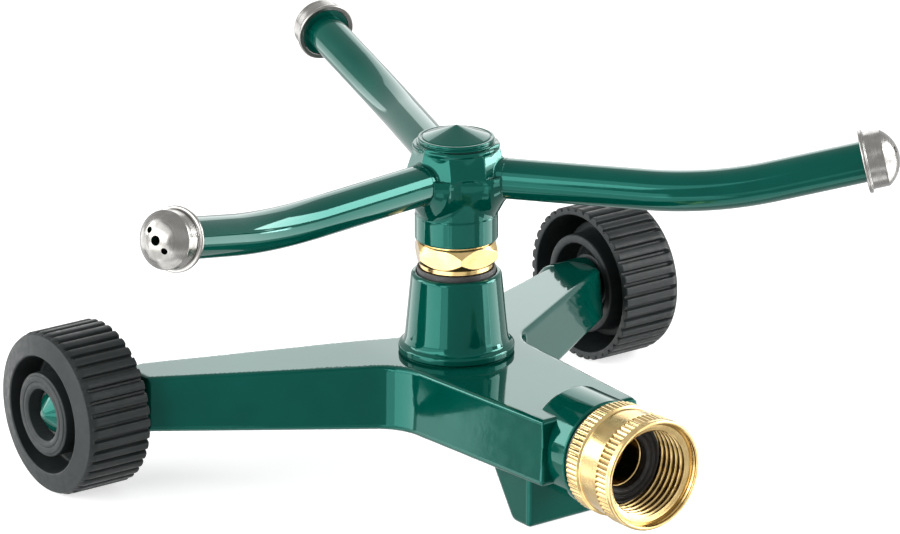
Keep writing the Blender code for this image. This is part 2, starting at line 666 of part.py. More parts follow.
def hex_collar():
    """The hexagon of the post, chamfered on both faces so that its flats look like lenses."""
    corner = HEX_ACROSS_FLATS / sqrt(3)
    prism = rod(corner, HEX_BOTTOM, HEX_TOP, 6)
    face_radius = HEX_ACROSS_FLATS / 2 - 0.3 * MM
    middle = (HEX_BOTTOM + HEX_TOP) / 2
    flat_half = HEX_HEIGHT / 2 - HEX_CHAMFER_HEIGHT
    turning = turned([
        (0.0, HEX_TOP + MM),
        (face_radius - MM, HEX_TOP + MM),
        (face_radius, HEX_TOP),
        (corner + 0.1 * MM, middle + flat_half),
        (corner + 0.1 * MM, middle - flat_half),
        (face_radius, HEX_BOTTOM),
        (face_radius - MM, HEX_BOTTOM - MM),
        (0.0, HEX_BOTTOM - MM),
    ], LARGE_STEPS)
    return combine(prism, turning, "INTERSECT")


def make_post(frame, brass, rubber, nylon):
    groove = O_RING_SECTION + SEAT_GAP
    groove_radius = POST_STEM_RADIUS - 2 * O_RING_SECTION - SEAT_GAP
    post = turned([
        (0.0, POST_STEP_Z + POST_END_LENGTH),
        (POST_END_RADIUS, POST_STEP_Z + POST_END_LENGTH),
        (POST_END_RADIUS, POST_STEP_Z),
        (POST_STEM_RADIUS, POST_STEP_Z),
        (POST_STEM_RADIUS, O_RING_Z + groove),
        (groove_radius, O_RING_Z + groove),
        (groove_radius, O_RING_Z - groove),
        (POST_STEM_RADIUS, O_RING_Z - groove),
        (POST_STEM_RADIUS, POST_SHOULDER_Z),
        (POST_NECK_RADIUS - 0.2 * MM, POST_SHOULDER_Z),
        (POST_NECK_RADIUS - 0.2 * MM, HEX_TOP - MM),
        (POST_NECK_RADIUS, HEX_BOTTOM + MM),
        (POST_NECK_RADIUS, POST_NECK_Z),
        (POST_THREAD_RADIUS, POST_NECK_Z),
        (POST_THREAD_RADIUS, POST_HOLE_Z + SEAT_GAP),
        (0.0, POST_HOLE_Z + SEAT_GAP),
    ], MEDIUM_STEPS)
    post = join(post, hex_collar())
    post = cut(post, rod(POST_BORE, POST_HOLE_Z - MM, POST_STEP_Z + POST_END_LENGTH + MM, SMALL_STEPS))
    finish(post, "bearing_post", brass, frame)
    gasket = washer(POST_THREAD_RADIUS + SEAT_GAP, POST_NECK_RADIUS + SEAT_GAP, POST_SEAT_Z + SEAT_GAP,
                    POST_GASKET_THICKNESS, MEDIUM_STEPS)
    finish(gasket, "post_gasket", rubber, frame)
    lower = washer(HEAD_BORE, POST_NECK_RADIUS - 2 * SEAT_GAP, POST_SHOULDER_Z + SEAT_GAP,
                   THRUST_WASHER_THICKNESS, SMALL_STEPS)
    finish(lower, "lower_thrust_washer", nylon, frame)
    middle = POST_STEM_RADIUS - O_RING_SECTION
    section = []
    for corner in range(6):
        angle = corner * pi / 3
        section.append((middle + O_RING_SECTION * cos(angle), O_RING_Z - O_RING_SECTION * sin(angle)))
    finish(turned(section, SMALL_STEPS, ring=True), "post_o_ring", rubber, frame)
    nut_z = POST_STEP_Z + SEAT_GAP
    nut_top = nut_z + LOCK_NUT_THICKNESS
    nut_bore = rod(POST_END_RADIUS + SEAT_GAP, nut_z - MM, nut_top + MM, SMALL_STEPS)
    nut = cut(rod(LOCK_NUT_RADIUS, nut_z, nut_top, 6), nut_bore)
    finish(nut, "post_lock_nut", brass, frame)


def arm_place(index):
    return Matrix.Rotation(ARM_REST_AZIMUTH + index * 2 * pi / ARM_COUNT, 4, "Z")


def along_arm(index):
    """A frame on the spin axis with local +Z out along an arm."""
    return arm_place(index) @ Matrix.Translation((0.0, 0.0, ARM_Z)) @ Matrix.Rotation(pi / 2, 4, "Y")


def head_boss(index):
    """A boss with its spigot, turned about the arm's axis."""
    spigot = ARM_BORE - SEAT_GAP
    return turned([
        (0.0, BOSS_TIP + SPIGOT_LENGTH),
        (spigot, BOSS_TIP + SPIGOT_LENGTH),
        (spigot, BOSS_TIP),
        (ARM_TUBE_RADIUS + 0.3 * MM, BOSS_TIP),
        (BOSS_RADIUS - 0.5 * MM, BOSS_SHOULDER + 1.1 * MM),
        (BOSS_RADIUS, BOSS_SHOULDER),
        (BOSS_RADIUS, HEAD_RADIUS / 2),
        (0.0, HEAD_RADIUS / 2),
    ], MEDIUM_STEPS, along_arm(index))


def make_head(frame, green, rubber, nylon):
    bead = HEAD_CROWN_BEAD
    head = turned([
        (0.0, HEAD_TOP),
        (HEAD_CROWN_RADIUS - 0.9 * MM, HEAD_TOP),
        (HEAD_CROWN_RADIUS - 0.2 * MM, HEAD_TOP - 0.3 * bead),
        (HEAD_CROWN_RADIUS, HEAD_TOP - 0.7 * bead),
        (HEAD_CROWN_RADIUS - 0.3 * MM, HEAD_TOP - bead),
        (HEAD_CROWN_RADIUS - 0.2 * MM, HEAD_TOP - 1.3 * bead),
        (HEAD_RADIUS, HEAD_CROWN_START),
        (HEAD_RADIUS, HEAD_SKIRT_TOP + 0.3 * MM),
        (HEAD_SKIRT_RADIUS, HEAD_SKIRT_TOP),
        (HEAD_SKIRT_RADIUS, HEAD_BOTTOM + 0.5 * MM),
        (HEAD_SKIRT_RADIUS - 0.5 * MM, HEAD_BOTTOM),
        (0.0, HEAD_BOTTOM),
    ], LARGE_STEPS)
    for index in range(ARM_COUNT):
        head = join(head, head_boss(index))
    inside = turned([
        (0.0, HEAD_TOP + MM),
        (HEAD_CHAMBER_RADIUS, HEAD_TOP + MM),
        (HEAD_CHAMBER_RADIUS, HEAD_LAND_TOP),
        (HEAD_BORE, HEAD_LAND_TOP),
        (HEAD_BORE, HEAD_SHOULDER_Z),
        (POST_NECK_RADIUS + RUNNING_GAP, HEAD_SHOULDER_Z),
        (POST_NECK_RADIUS + RUNNING_GAP, HEAD_BOTTOM - MM),
        (0.0, HEAD_BOTTOM - MM),
    ], MEDIUM_STEPS)
    head = cut(head, inside)
    for index in range(ARM_COUNT):
        passage_end = BOSS_TIP + 2 * SPIGOT_LENGTH
        passage = rod(SPIGOT_BORE, HEAD_CHAMBER_RADIUS / 2, passage_end, SMALL_STEPS, along_arm(index))
        head = cut(head, passage)
    finish(head, "head_casting", green, frame)
    upper = washer(HEAD_BORE, HEAD_CHAMBER_RADIUS - SEAT_GAP, UPPER_WASHER_Z,
                   THRUST_WASHER_THICKNESS - SEAT_GAP, SMALL_STEPS)
    finish(upper, "upper_thrust_washer", nylon, frame)
    plug_radius = HEAD_CHAMBER_RADIUS - SEAT_GAP
    gasket_z = HEAD_TOP + SEAT_GAP
    gasket = washer(plug_radius + SEAT_GAP, CAP_DISC_RADIUS - 0.3 * MM, gasket_z, CAP_GASKET_THICKNESS,
                    MEDIUM_STEPS)
    finish(gasket, "cap_gasket", rubber, frame)
    disc_z = gasket_z + CAP_GASKET_THICKNESS + SEAT_GAP
    rim_z = disc_z + CAP_DISC_THICKNESS
    cap = turned([
        (0.0, rim_z + CAP_CONE_HEIGHT),
        (CAP_DISC_RADIUS - 0.5 * MM, rim_z),
        (CAP_DISC_RADIUS, rim_z - 0.3 * MM),
        (CAP_DISC_RADIUS, disc_z),
        (plug_radius, disc_z),
        (plug_radius, HEAD_TOP - CAP_PLUG_DEPTH),
        (0.0, HEAD_TOP - CAP_PLUG_DEPTH),
    ], LARGE_STEPS)
    finish(cap, "head_cap", green, frame)


def outer_direction():
    """Direction of an arm beyond its bend, for an arm that leaves the head along +X."""
    flat = cos(ARM_RISE)
    return Vector((flat * cos(ARM_SIDE_BEND), flat * sin(ARM_SIDE_BEND), sin(ARM_RISE)))


def arm_route(start, end_beyond_corner, bend_steps=6):
    """Centre line of an arm along +X: straight, one arc, straight."""
    first = Vector((1.0, 0.0, 0.0))
    last = outer_direction()
    corner = Vector((ARM_CORNER, 0.0, ARM_Z))
    bend = acos(first.dot(last))
    reach = ARM_BEND_RADIUS * tan(bend / 2)
    inward = (last - first * first.dot(last)).normalized()
    centre = corner - first * reach + inward * ARM_BEND_RADIUS
    route = [Vector((start, 0.0, ARM_Z))]
    for step in range(bend_steps + 1):
        angle = bend * step / bend_steps
        route.append(centre + (first * sin(angle) - inward * cos(angle)) * ARM_BEND_RADIUS)
    route.append(corner + last * end_beyond_corner)
    return route


def tube(route, radius, sides):
    """A round bar along a route, closed at both ends."""
    curve = bpy.data.curves.new("tube", "CURVE")
    curve.dimensions = "3D"
    curve.bevel_depth = radius
    curve.bevel_resolution = (sides - 4) // 2
    curve.use_fill_caps = True
    spline = curve.splines.new("POLY")
    spline.points.add(len(route) - 1)
    for point, place in zip(spline.points, route):
        point.co = (*place, 1.0)
    solid = bpy.data.objects.new("tube", curve)
    cutters.objects.link(solid)
    return bake(solid)


def nozzle_place():
    """Frame at the back of a nozzle cap: local +Z along the arm's end, local +X level."""
    outward = outer_direction()
    level = Vector((0.0, 0.0, 1.0)).cross(outward).normalized()
    upward = outward.cross(level)
    seat = Vector((ARM_CORNER, 0.0, ARM_Z)) + outward * ARM_OUTER_LENGTH
    turn = Matrix((level, upward, outward)).transposed().to_4x4()
    return Matrix.Translation(seat) @ turn


def dome_profile(base_radius, base_z, height, steps):
    """Points of a spherical dome from its top down to its base."""
    ball = (base_radius ** 2 + height ** 2) / (2 * height)
    half_angle = atan(base_radius / (ball - height))
    profile = []
    for step in range(steps + 1):
        angle = half_angle * step / steps
        profile.append((ball * sin(angle), base_z + height - ball * (1 - cos(angle))))
    return profile


def nozzle_cap_solid():
    outer_height = CAP_LENGTH - CAP_BODY_LENGTH
    outer = dome_profile(CAP_BODY_RADIUS, CAP_BODY_LENGTH, outer_height, 3)
    inner = dome_profile(CAP_BODY_RADIUS - CAP_SHEET, CAP_BODY_LENGTH, outer_height - CAP_SHEET, 2)
    profile = outer + [
        (CAP_BODY_RADIUS, CAP_FLANGE_THICKNESS),
        (CAP_FLANGE_RADIUS, CAP_FLANGE_THICKNESS),
        (CAP_FLANGE_RADIUS, 0.0),
        (CAP_BODY_RADIUS - CAP_SHEET, 0.0),
    ] + list(reversed(inner))
    cap = turned(profile, MEDIUM_STEPS)
    row = Matrix.Rotation(JET_ROW_TURN, 4, "Z")
    jets = ((-JET_SPACING, JET_SIDE_RADIUS), (0.0, JET_CENTRE_RADIUS), (JET_SPACING, JET_SIDE_RADIUS))
    for offset, radius in jets:
        place = row @ Matrix.Translation((offset, 0.0, 0.0))
        cap = cut(cap, rod(radius, CAP_BODY_LENGTH, 2 * CAP_LENGTH, 12, place))
    return cap


def make_arms(head_frame, green, brass, rubber, steel):
    """Three equal arms; the pieces of the second and third share the meshes of the first."""
    names = ("arm_tube", "nozzle_sleeve", "nozzle_seal", "nozzle_cap")
    sleeve_start = SEAT_GAP
    tube_end = SEAT_GAP + SLEEVE_LENGTH
    seal_start = tube_end + SEAT_GAP
    first = {}
    for index in range(ARM_COUNT):
        arm = make_frame(f"arm_{index + 1}", head_frame.matrix_world @ arm_place(index), head_frame)
        seat = make_frame(f"nozzle_{index + 1}", arm.matrix_world @ nozzle_place(), arm)
        frames = dict(zip(names, (arm, seat, seat, seat)))
        if index > 0:
            for name in names:
                copy_of(first[name], f"{name}_{index + 1}", frames[name])
            continue
        tube_route = arm_route(BOSS_TIP + SEAT_GAP, ARM_OUTER_LENGTH + tube_end)
        bore_route = arm_route(BOSS_TIP - MM, ARM_OUTER_LENGTH + tube_end + MM)
        body = tube(tube_route, ARM_TUBE_RADIUS, TUBE_SIDES)
        bore = tube(bore_route, ARM_BORE, TUBE_SIDES)
        solids = (
            cut(body, bore),
            washer(ARM_TUBE_RADIUS + SEAT_GAP, CAP_BODY_RADIUS - CAP_SHEET - SEAT_GAP, sleeve_start,
                   SLEEVE_LENGTH, SMALL_STEPS),
            washer(NOZZLE_SEAL_BORE, CAP_BODY_RADIUS - CAP_SHEET - 3 * SEAT_GAP, seal_start,
                   NOZZLE_SEAL_THICKNESS, SMALL_STEPS),
            nozzle_cap_solid(),
        )
        for name, solid, material in zip(names, solids, (green, brass, rubber, steel)):
            solid.matrix_world = frames[name].matrix_world
            first[name] = finish(solid, f"{name}_1", material, frames[name])


def centre_footprint(root):
    """Move the root so that the middle of the whole footprint stands at X = 0, Y = 0."""
    bpy.context.view_layer.update()
    corners = []
    for solid in parts.objects:
        if solid.type == "MESH":
            corners += [solid.matrix_world @ vertex.co for vertex in solid.data.vertices]
    middle_x = (min(corner.x for corner in corners) + max(corner.x for corner in corners)) / 2
    middle_y = (min(corner.y for corner in corners) + max(corner.y for corner in corners)) / 2
    root.location = (-middle_x, -middle_y, 0.0)
    bpy.context.view_layer.update()


def main():
    clear_scene()
    green, plastic, rubber, brass, steel, nylon = (make_material(name) for name in COLOURS)
    root = make_frame("sprinkler", Matrix.Identity(4))
    head = make_frame("head_axis", Matrix.Identity(4), root)
    axle = Matrix.Translation((0.0, AXLE_Y, AXLE_Z))
    left_wheel = make_frame("left_wheel_axis", axle @ Matrix.Rotation(-pi / 2, 4, "Y"), root)
    right_wheel = make_frame("right_wheel_axis", axle @ Matrix.Rotation(pi / 2, 4, "Y"), root)
    coupling = make_frame("coupling_axis", Matrix.Translation((0.0, 0.0, INLET_Z)) @ ALONG_INLET, root)
    make_base(root, green)
    make_wheels(left_wheel, right_wheel, plastic)
    make_wheel_washers(root, steel)
    make_inlet(root, coupling, brass, rubber)
    make_post(root, brass, rubber, nylon)
    make_head(head, green, rubber, nylon)
    make_arms(head, green, brass, rubber, steel)
    centre_footprint(root)


main()
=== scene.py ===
"""Looks of the rotary sprinkler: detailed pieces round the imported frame, materials, light and camera.

Pieces are drawn in millimetres in the model frame of the CAD source, where the spin axis stands at X = 0,
Y = 0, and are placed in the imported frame's metres as they are added.
"""

import json
from itertools import product
from math import acos, asin, ceil, cos, pi, radians, sin, tan

import bpy
import numpy as np
from mathutils import Matrix, Vector


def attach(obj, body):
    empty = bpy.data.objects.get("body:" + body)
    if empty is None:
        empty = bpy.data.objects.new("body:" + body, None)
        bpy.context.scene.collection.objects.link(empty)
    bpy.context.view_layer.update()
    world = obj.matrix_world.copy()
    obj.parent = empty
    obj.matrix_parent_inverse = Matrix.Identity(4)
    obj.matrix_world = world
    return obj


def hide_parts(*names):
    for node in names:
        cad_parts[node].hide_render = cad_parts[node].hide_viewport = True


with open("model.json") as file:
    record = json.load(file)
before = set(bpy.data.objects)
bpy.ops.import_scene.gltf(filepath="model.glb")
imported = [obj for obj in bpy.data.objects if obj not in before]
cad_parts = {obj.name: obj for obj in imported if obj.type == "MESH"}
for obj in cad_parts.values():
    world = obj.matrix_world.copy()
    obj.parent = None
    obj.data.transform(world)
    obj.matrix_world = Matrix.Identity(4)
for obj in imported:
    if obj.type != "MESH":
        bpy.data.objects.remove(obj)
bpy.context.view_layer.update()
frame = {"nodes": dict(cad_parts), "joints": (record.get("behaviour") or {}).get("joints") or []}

MM = 0.001
joint_places = {joint["name"]: Vector(joint["pos_m"]) for joint in frame["joints"]}
SPIN_AXIS = joint_places["head_spin"]
MODEL_FRAME = Matrix.Translation((SPIN_AXIS.x, SPIN_AXIS.y, 0.0))
OWN_PLACE = "own_place"

# Sizes down to the nozzles are in millimetres
CLEARANCE = 0.3
PAST_AXIS = -20.0

# Base casting
BASE_TOP = 38.7
BASE_BOTTOM = 18.2
BASE_DRAFT = 1.5
LEG_SLOPE_START_X = 20.0
LEG_SLOPE_BLEND = 5.0
LEG_END_DROP = 2.5
LEG_END_RISE = 1.0
LEG_END_X = 88.9
LEG_FRONT_ROOT_Y = -18.4
LEG_FRONT_END_Y = 39.4
LEG_REAR_ROOT_Y = 18.6
LEG_REAR_END_Y = 58.6
INLET_ARM_HALF_WIDTH = 24.0
INLET_ARM_END_HALF_WIDTH = 19.0
INLET_ARM_END_Y = -68.3
INLET_CORNER_FILLET = 1.0
CROTCH_FILLET = 15.0
REAR_FILLET = 20.0
END_CORNER_FILLET = 3.6
REAR_CORNER_FILLET = 7.0
EDGE_ROUNDING = 1.5
LEG_POCKET_WALL = 3.0
LEG_POCKET_ROOF_Z = 32.7
LEG_POCKET_START_X = 27.0
LEG_POCKET_END_X = 72.0
INLET_Z = 27.0
BARREL_RADIUS = 16.5
BARREL_BACK_Y = -57.3
BARREL_FACE_Y = -75.4
WATERWAY_RADIUS = 7.2
WATERWAY_END_Y = 7.0
TAIL_HOLE_RADIUS = 10.4
TAIL_HOLE_END_Y = -63.6
FOOT_HALF_WIDTH = 13.6
FOOT_FRONT_Y = -55.0
FOOT_HEEL_Y = -46.4
FOOT_ROOT_Y = -32.8
FOOT_ROOT_Z = 20.2
TOWER_TOP = 64.4
TOWER_TOP_RADIUS = 13.9
TOWER_FOOT_RADIUS = 15.9
TOWER_FOOT_Z = 44.0
FLANGE_RADIUS = 17.9
FLANGE_TOP = 41.9
POST_SEAT_Z = 61.7
POST_HOLE_RADIUS = 9.3

# Axles and wheels
AXLE_Y = 57.0
AXLE_Z = 25.5
AXLE_RADIUS = 5.0
AXLE_BOSS_RADIUS = 8.3
AXLE_BOSS_START_X = 81.5
AXLE_BOSS_TAPER = 9.0
AXLE_BOSS_END_X = 95.5
AXLE_HEAD_X = 110.7
AXLE_HEAD_RADIUS = 6.3
AXLE_HEAD_THICKNESS = 2.2
AXLE_HEAD_CONE = 1.6
AXLE_HOLE_RADIUS = 5.3
WHEEL_INNER_FACE_X = 91.9
WHEEL_WIDTH = 23.1
WHEEL_RADIUS = 25.5
WHEEL_RIM_WIDTH = 21.4
WHEEL_RIM_WALL = 2.7
WHEEL_FACE_WALL = 3.0
HUB_RING_RADIUS = 13.1
HUB_LINE_RADIUS = 10.2
HUB_GROOVE_RADIUS = 18.2
HUB_GROOVE_DEPTH = 10.8
HUB_GROOVE_WALL = 1.1
HUB_TUBE_RADIUS = 16.3
HUB_TUBE_BORE = 13.3
HUB_NOSE_RADIUS = 9.2
HUB_NOSE_DEPTH = 3.9
HUB_RECESS_DEPTH = 9.0
HUB_POCKET_RADIUS = 8.0
HUB_POCKET_DEPTH = 5.6
WASHER_BORE = 5.4
WASHER_RADIUS = 7.3
WASHER_THICKNESS = 0.7

# Ribs of the tread: half a land and a flank are shares of the pitch
RIB_COUNT = 40
RIB_ROOT_RADIUS = 24.1
RIB_HALF_LAND = 0.29
RIB_FLANK = 0.13
RIB_CROWN = 0.16
RIB_RUN_OUT_START = 2.4
RIB_RUN_OUT_LENGTH = 1.6
RIB_RUN_OUT_RISE = 1.1

# Inlet and hose coupling
NUT_REAR_Y = -76.9
NUT_LENGTH = 21.1
NUT_BAND_RADIUS = 17.1
NUT_WAIST_RADIUS = 16.3
NUT_RIM_RADIUS = 17.0
NUT_REAR_BORE = 10.4
NUT_REAR_BAND = (0.6, 5.5)
NUT_FRONT_BAND = (14.6, 19.4)
KNURL_COUNT = 64
KNURL_DEPTH = 0.42
THREAD_CREST_RADIUS = 13.1
THREAD_ROOT_RADIUS = 14.5
THREAD_PITCH = 2.2
THREAD_START = 3.0
THREAD_END = NUT_LENGTH - 2.1
TAIL_FLANGE_REAR_Y = -79.7
TAIL_FLANGE_RADIUS = 12.5
TAIL_FACE_Y = -81.5
TAIL_INNER_END_Y = -64.0
TAIL_RADIUS = 10.1
TAIL_BORE = 7.5
TAIL_NARROW_BORE = 6.5
TAIL_WIDE_BORE_DEPTH = 9.0
HOSE_SEAL_BORE = 8.0
HOSE_SEAL_RADIUS = 12.6
HOSE_SEAL_THICKNESS = 3.0
INLET_SEAL_RADIUS = 16.0
INLET_SEAL_THICKNESS = 0.9

# Bearing post and head
HEX_BOTTOM = 67.6
HEX_TOP = 74.3
HEX_FLAT_DISTANCE = 12.0
HEX_CORNER_RADIUS = HEX_FLAT_DISTANCE / cos(pi / 6)
HEX_FACE_RADIUS = HEX_FLAT_DISTANCE - 0.3
HEX_CHAMFER_HEIGHT = 2.6
HEX_BORE = 9.0
HEX_EDGE_BEVEL = 0.15
POST_NECK_RADIUS = 11.4
POST_SHOULDER_Z = 75.8
POST_LAND_RADIUS = 7.5
POST_LAND_TOP = 89.7
POST_THREAD_RADIUS = 6.6
POST_TOP = 94.3
POST_BORE = 4.6
POST_NECK_BOTTOM = 63.5
POST_GROOVE_Z = 65.1
POST_FOOT_RADIUS = 9.0
POST_FOOT_Z = 46.0
POST_SEAL_BORE = 9.6
POST_SEAL_TOP = 66.0
HEAD_BOTTOM = 75.1
HEAD_TOP = 105.2
HEAD_RADIUS = 12.5
HEAD_SKIRT_RADIUS = 12.7
HEAD_SKIRT_TOP = 82.8
HEAD_CROWN_RADIUS = 13.4
HEAD_CROWN_START = 97.3
HEAD_FLAT_TURN = radians(22.7)
HEAD_FLAT_TILT = radians(15.0)
HEAD_FLAT_DISTANCE = 13.4
HEAD_FLAT_MIDDLE = 100.2
HEAD_FLAT_BOTTOM = 97.2
BOSS_TIP = 15.8
BOSS_SHOULDER = 12.8
BOSS_RADIUS = 9.7
BOSS_BLEND = 3.5
HEAD_HOLE_RADIUS = 7.8
HEAD_SKIRT_DEPTH = 2.3
CAP_TIP_Z = 111.0
CAP_RIM_Z = 107.3
CAP_BEAD_Z = 105.8
CAP_SEAT_Z = 105.5
CAP_DISC_RADIUS = 11.7
CAP_PLUG_RADIUS = 9.6
CAP_PLUG_Z = 101.6

# Arms and nozzles
ARM_COUNT = 3
ARM_REST_AZIMUTH = radians(188.7)
ARM_Z = 95.1
ARM_TUBE_RADIUS = 6.25
ARM_CORNER = 79.1
ARM_SIDE_BEND = radians(12.5)
ARM_RISE = radians(13.4)
ARM_BEND_RADIUS = 123.0
ARM_OUTER_LENGTH = 47.0
NOZZLE_CAP_LENGTH = 11.0
NOZZLE_BODY_RADIUS = 8.7
NOZZLE_BODY_LENGTH = 6.2
NOZZLE_FLANGE_RADIUS = 9.7
NOZZLE_BORE = 8.0
SLEEVE_RADIUS = 7.9
SLEEVE_LENGTH = 4.9
JET_SPACING = 3.95
JET_RADIUS = 0.95
MIDDLE_JET_RADIUS = 1.5
JET_ROW_TURN = radians(-42.0)

# Light and camera; distances in metres, the lens in millimetres
BOX_DISTANCE = 1.6
WORLD_LIGHT = 0.3
FLOOR_REACH = 3.0
FLOOR_GLOW = 0.66
CAMERA_AZIMUTH = radians(-36.93)
CAMERA_ELEVATION = radians(18.71)
CAMERA_ROLL = radians(0.09)
CAMERA_DISTANCE = 1.6692
CAMERA_TARGET = (0.01469, 0.0, 0.06294)
CAMERA_LENS = 217.02
CAMERA_SHIFT = (-0.0497, -0.0020)

INLET_FRAME = Matrix.Translation((0.0, 0.0, INLET_Z)) @ Matrix.Rotation(pi / 2, 4, "X")


# Flat outlines and turned profiles


def softened(corners, closed=True, step_angle=radians(18)):
    """A path through (x, y) or (x, y, fillet) corners with each filleted corner rounded by an arc."""
    path = []
    count = len(corners)
    for index, corner in enumerate(corners):
        here = Vector(corner[:2])
        fillet = corner[2] if len(corner) > 2 else 0.0
        at_end = not closed and index in (0, count - 1)
        if fillet == 0.0 or at_end:
            path.append(here)
            continue
        before = (Vector(corners[index - 1][:2]) - here).normalized()
        after = (Vector(corners[(index + 1) % count][:2]) - here).normalized()
        half_angle = before.angle(after) / 2
        centre = here + (before + after).normalized() * (fillet / sin(half_angle))
        start = here + before * (fillet / tan(half_angle)) - centre
        sweep = pi - 2 * half_angle
        if before.x * after.y - before.y * after.x > 0:
            sweep = -sweep
        steps = max(1, ceil(abs(sweep) / step_angle))
        for step in range(steps + 1):
            path.append(centre + Matrix.Rotation(sweep * step / steps, 2) @ start)
    return [tuple(point) for point in path]


def ring_section(bore, radius, bottom, top, upper_fillet=0.0, lower_fillet=0.0):
    """Closed section of a flat ring with its outer edges rounded."""
    corners = [(bore, top), (radius, top, upper_fillet), (radius, bottom, lower_fillet), (bore, bottom)]
    return softened(corners)


def turned(profile, angles, shape_at=None):
    """Points and faces of a (radius, height) profile spun about local Z; it runs down the outer side.

    A profile that starts on the axis ends there too, and any other is closed on itself. angles is a
    number of even steps or the list of angles. shape_at(radius, height, angle) returns the radius and
    height to use there, for ribs, knurls, threads and flats.
    """
    if isinstance(angles, int):
        angles = np.arange(angles) * (2 * pi / angles)
    columns = len(angles)
    points, rows = [], []
    for radius, height in profile:
        if radius < 1e-6:
            rows.append([len(points)])
            points.append((0.0, 0.0, height))
            continue
        rows.append(list(range(len(points), len(points) + columns)))
        radii, heights = np.full(columns, radius), np.full(columns, height)
        if shape_at:
            radii, heights = shape_at(radii, heights, angles)
        points.extend(zip(radii * np.cos(angles), radii * np.sin(angles), heights))
    faces = []
    pairs = list(zip(rows, rows[1:]))
    if len(rows[0]) > 1:
        pairs.append((rows[-1], rows[0]))
    for upper, lower in pairs:
        for column in range(columns):
            after = (column + 1) % columns
            if len(upper) == 1:
                faces.append((upper[0], lower[column], lower[after]))
            elif len(lower) == 1:
                faces.append((upper[column], lower[0], upper[after]))
            else:
                faces.append((upper[column], lower[column], lower[after], upper[after]))
    return points, faces


def swept(route, radius, sides):
    """Points and faces of a round bar along a route that lies in one plane."""
    route = [Vector(place) for place in route]
    plane_normal = (route[1] - route[0]).cross(route[-1] - route[-2]).normalized()
    points, faces = [], []
    for index, place in enumerate(route):
        before = route[max(index - 1, 0)]
        after = route[min(index + 1, len(route) - 1)]
        tangent = (after - before).normalized()
        across = plane_normal.cross(tangent)
        for side in range(sides):
            angle = 2 * pi * side / sides
            points.append(place + (across * cos(angle) + plane_normal * sin(angle)) * radius)
    for ring in range(len(route) - 1):
        for side in range(sides):
            after = (side + 1) % sides
            here, there = ring * sides, (ring + 1) * sides
            faces.append((here + side, here + after, there + after, there + side))
    last = (len(route) - 1) * sides
    faces.append(tuple(reversed(range(sides))))
    faces.append(tuple(range(last, last + sides)))
    return points, faces


# Castings as smooth fields, negative inside


def outline_distance(outline, x, y):
    """Signed distance to a closed outline, negative inside."""
    nearest = np.inf
    crossings = False
    for (ax, ay), (bx, by) in zip(outline, outline[1:] + outline[:1]):
        ex, ey = bx - ax, by - ay
        px, py = x - ax, y - ay
        along = np.clip((px * ex + py * ey) / (ex * ex + ey * ey), 0.0, 1.0)
        nearest = np.minimum(nearest, (px - along * ex) ** 2 + (py - along * ey) ** 2)
        if ay != by:
            spans = (ay > y) != (by > y)
            crossings = crossings ^ (spans & (x < ax + ex * (y - ay) / ey))
    return np.where(crossings, -1.0, 1.0) * np.sqrt(nearest)


def common(first, second, rounding):
    """What two fields share, with the edge between them rounded."""
    inner = np.minimum(np.maximum(first + rounding, second + rounding), 0.0)
    outer = np.hypot(np.maximum(first + rounding, 0.0), np.maximum(second + rounding, 0.0))
    return inner + outer - rounding


def joined(first, second, fillet):
    """Two fields together, with a fillet where they meet."""
    return -common(-first, -second, fillet)


def slope(field, points, reach=0.03):
    """Gradient of a field at points, by central differences."""
    columns = []
    for axis in range(3):
        shift = np.zeros(3)
        shift[axis] = reach
        ahead, behind = points + shift, points - shift
        columns.append((field(*ahead.T) - field(*behind.T)) / (2 * reach))
    return np.stack(columns, axis=1)


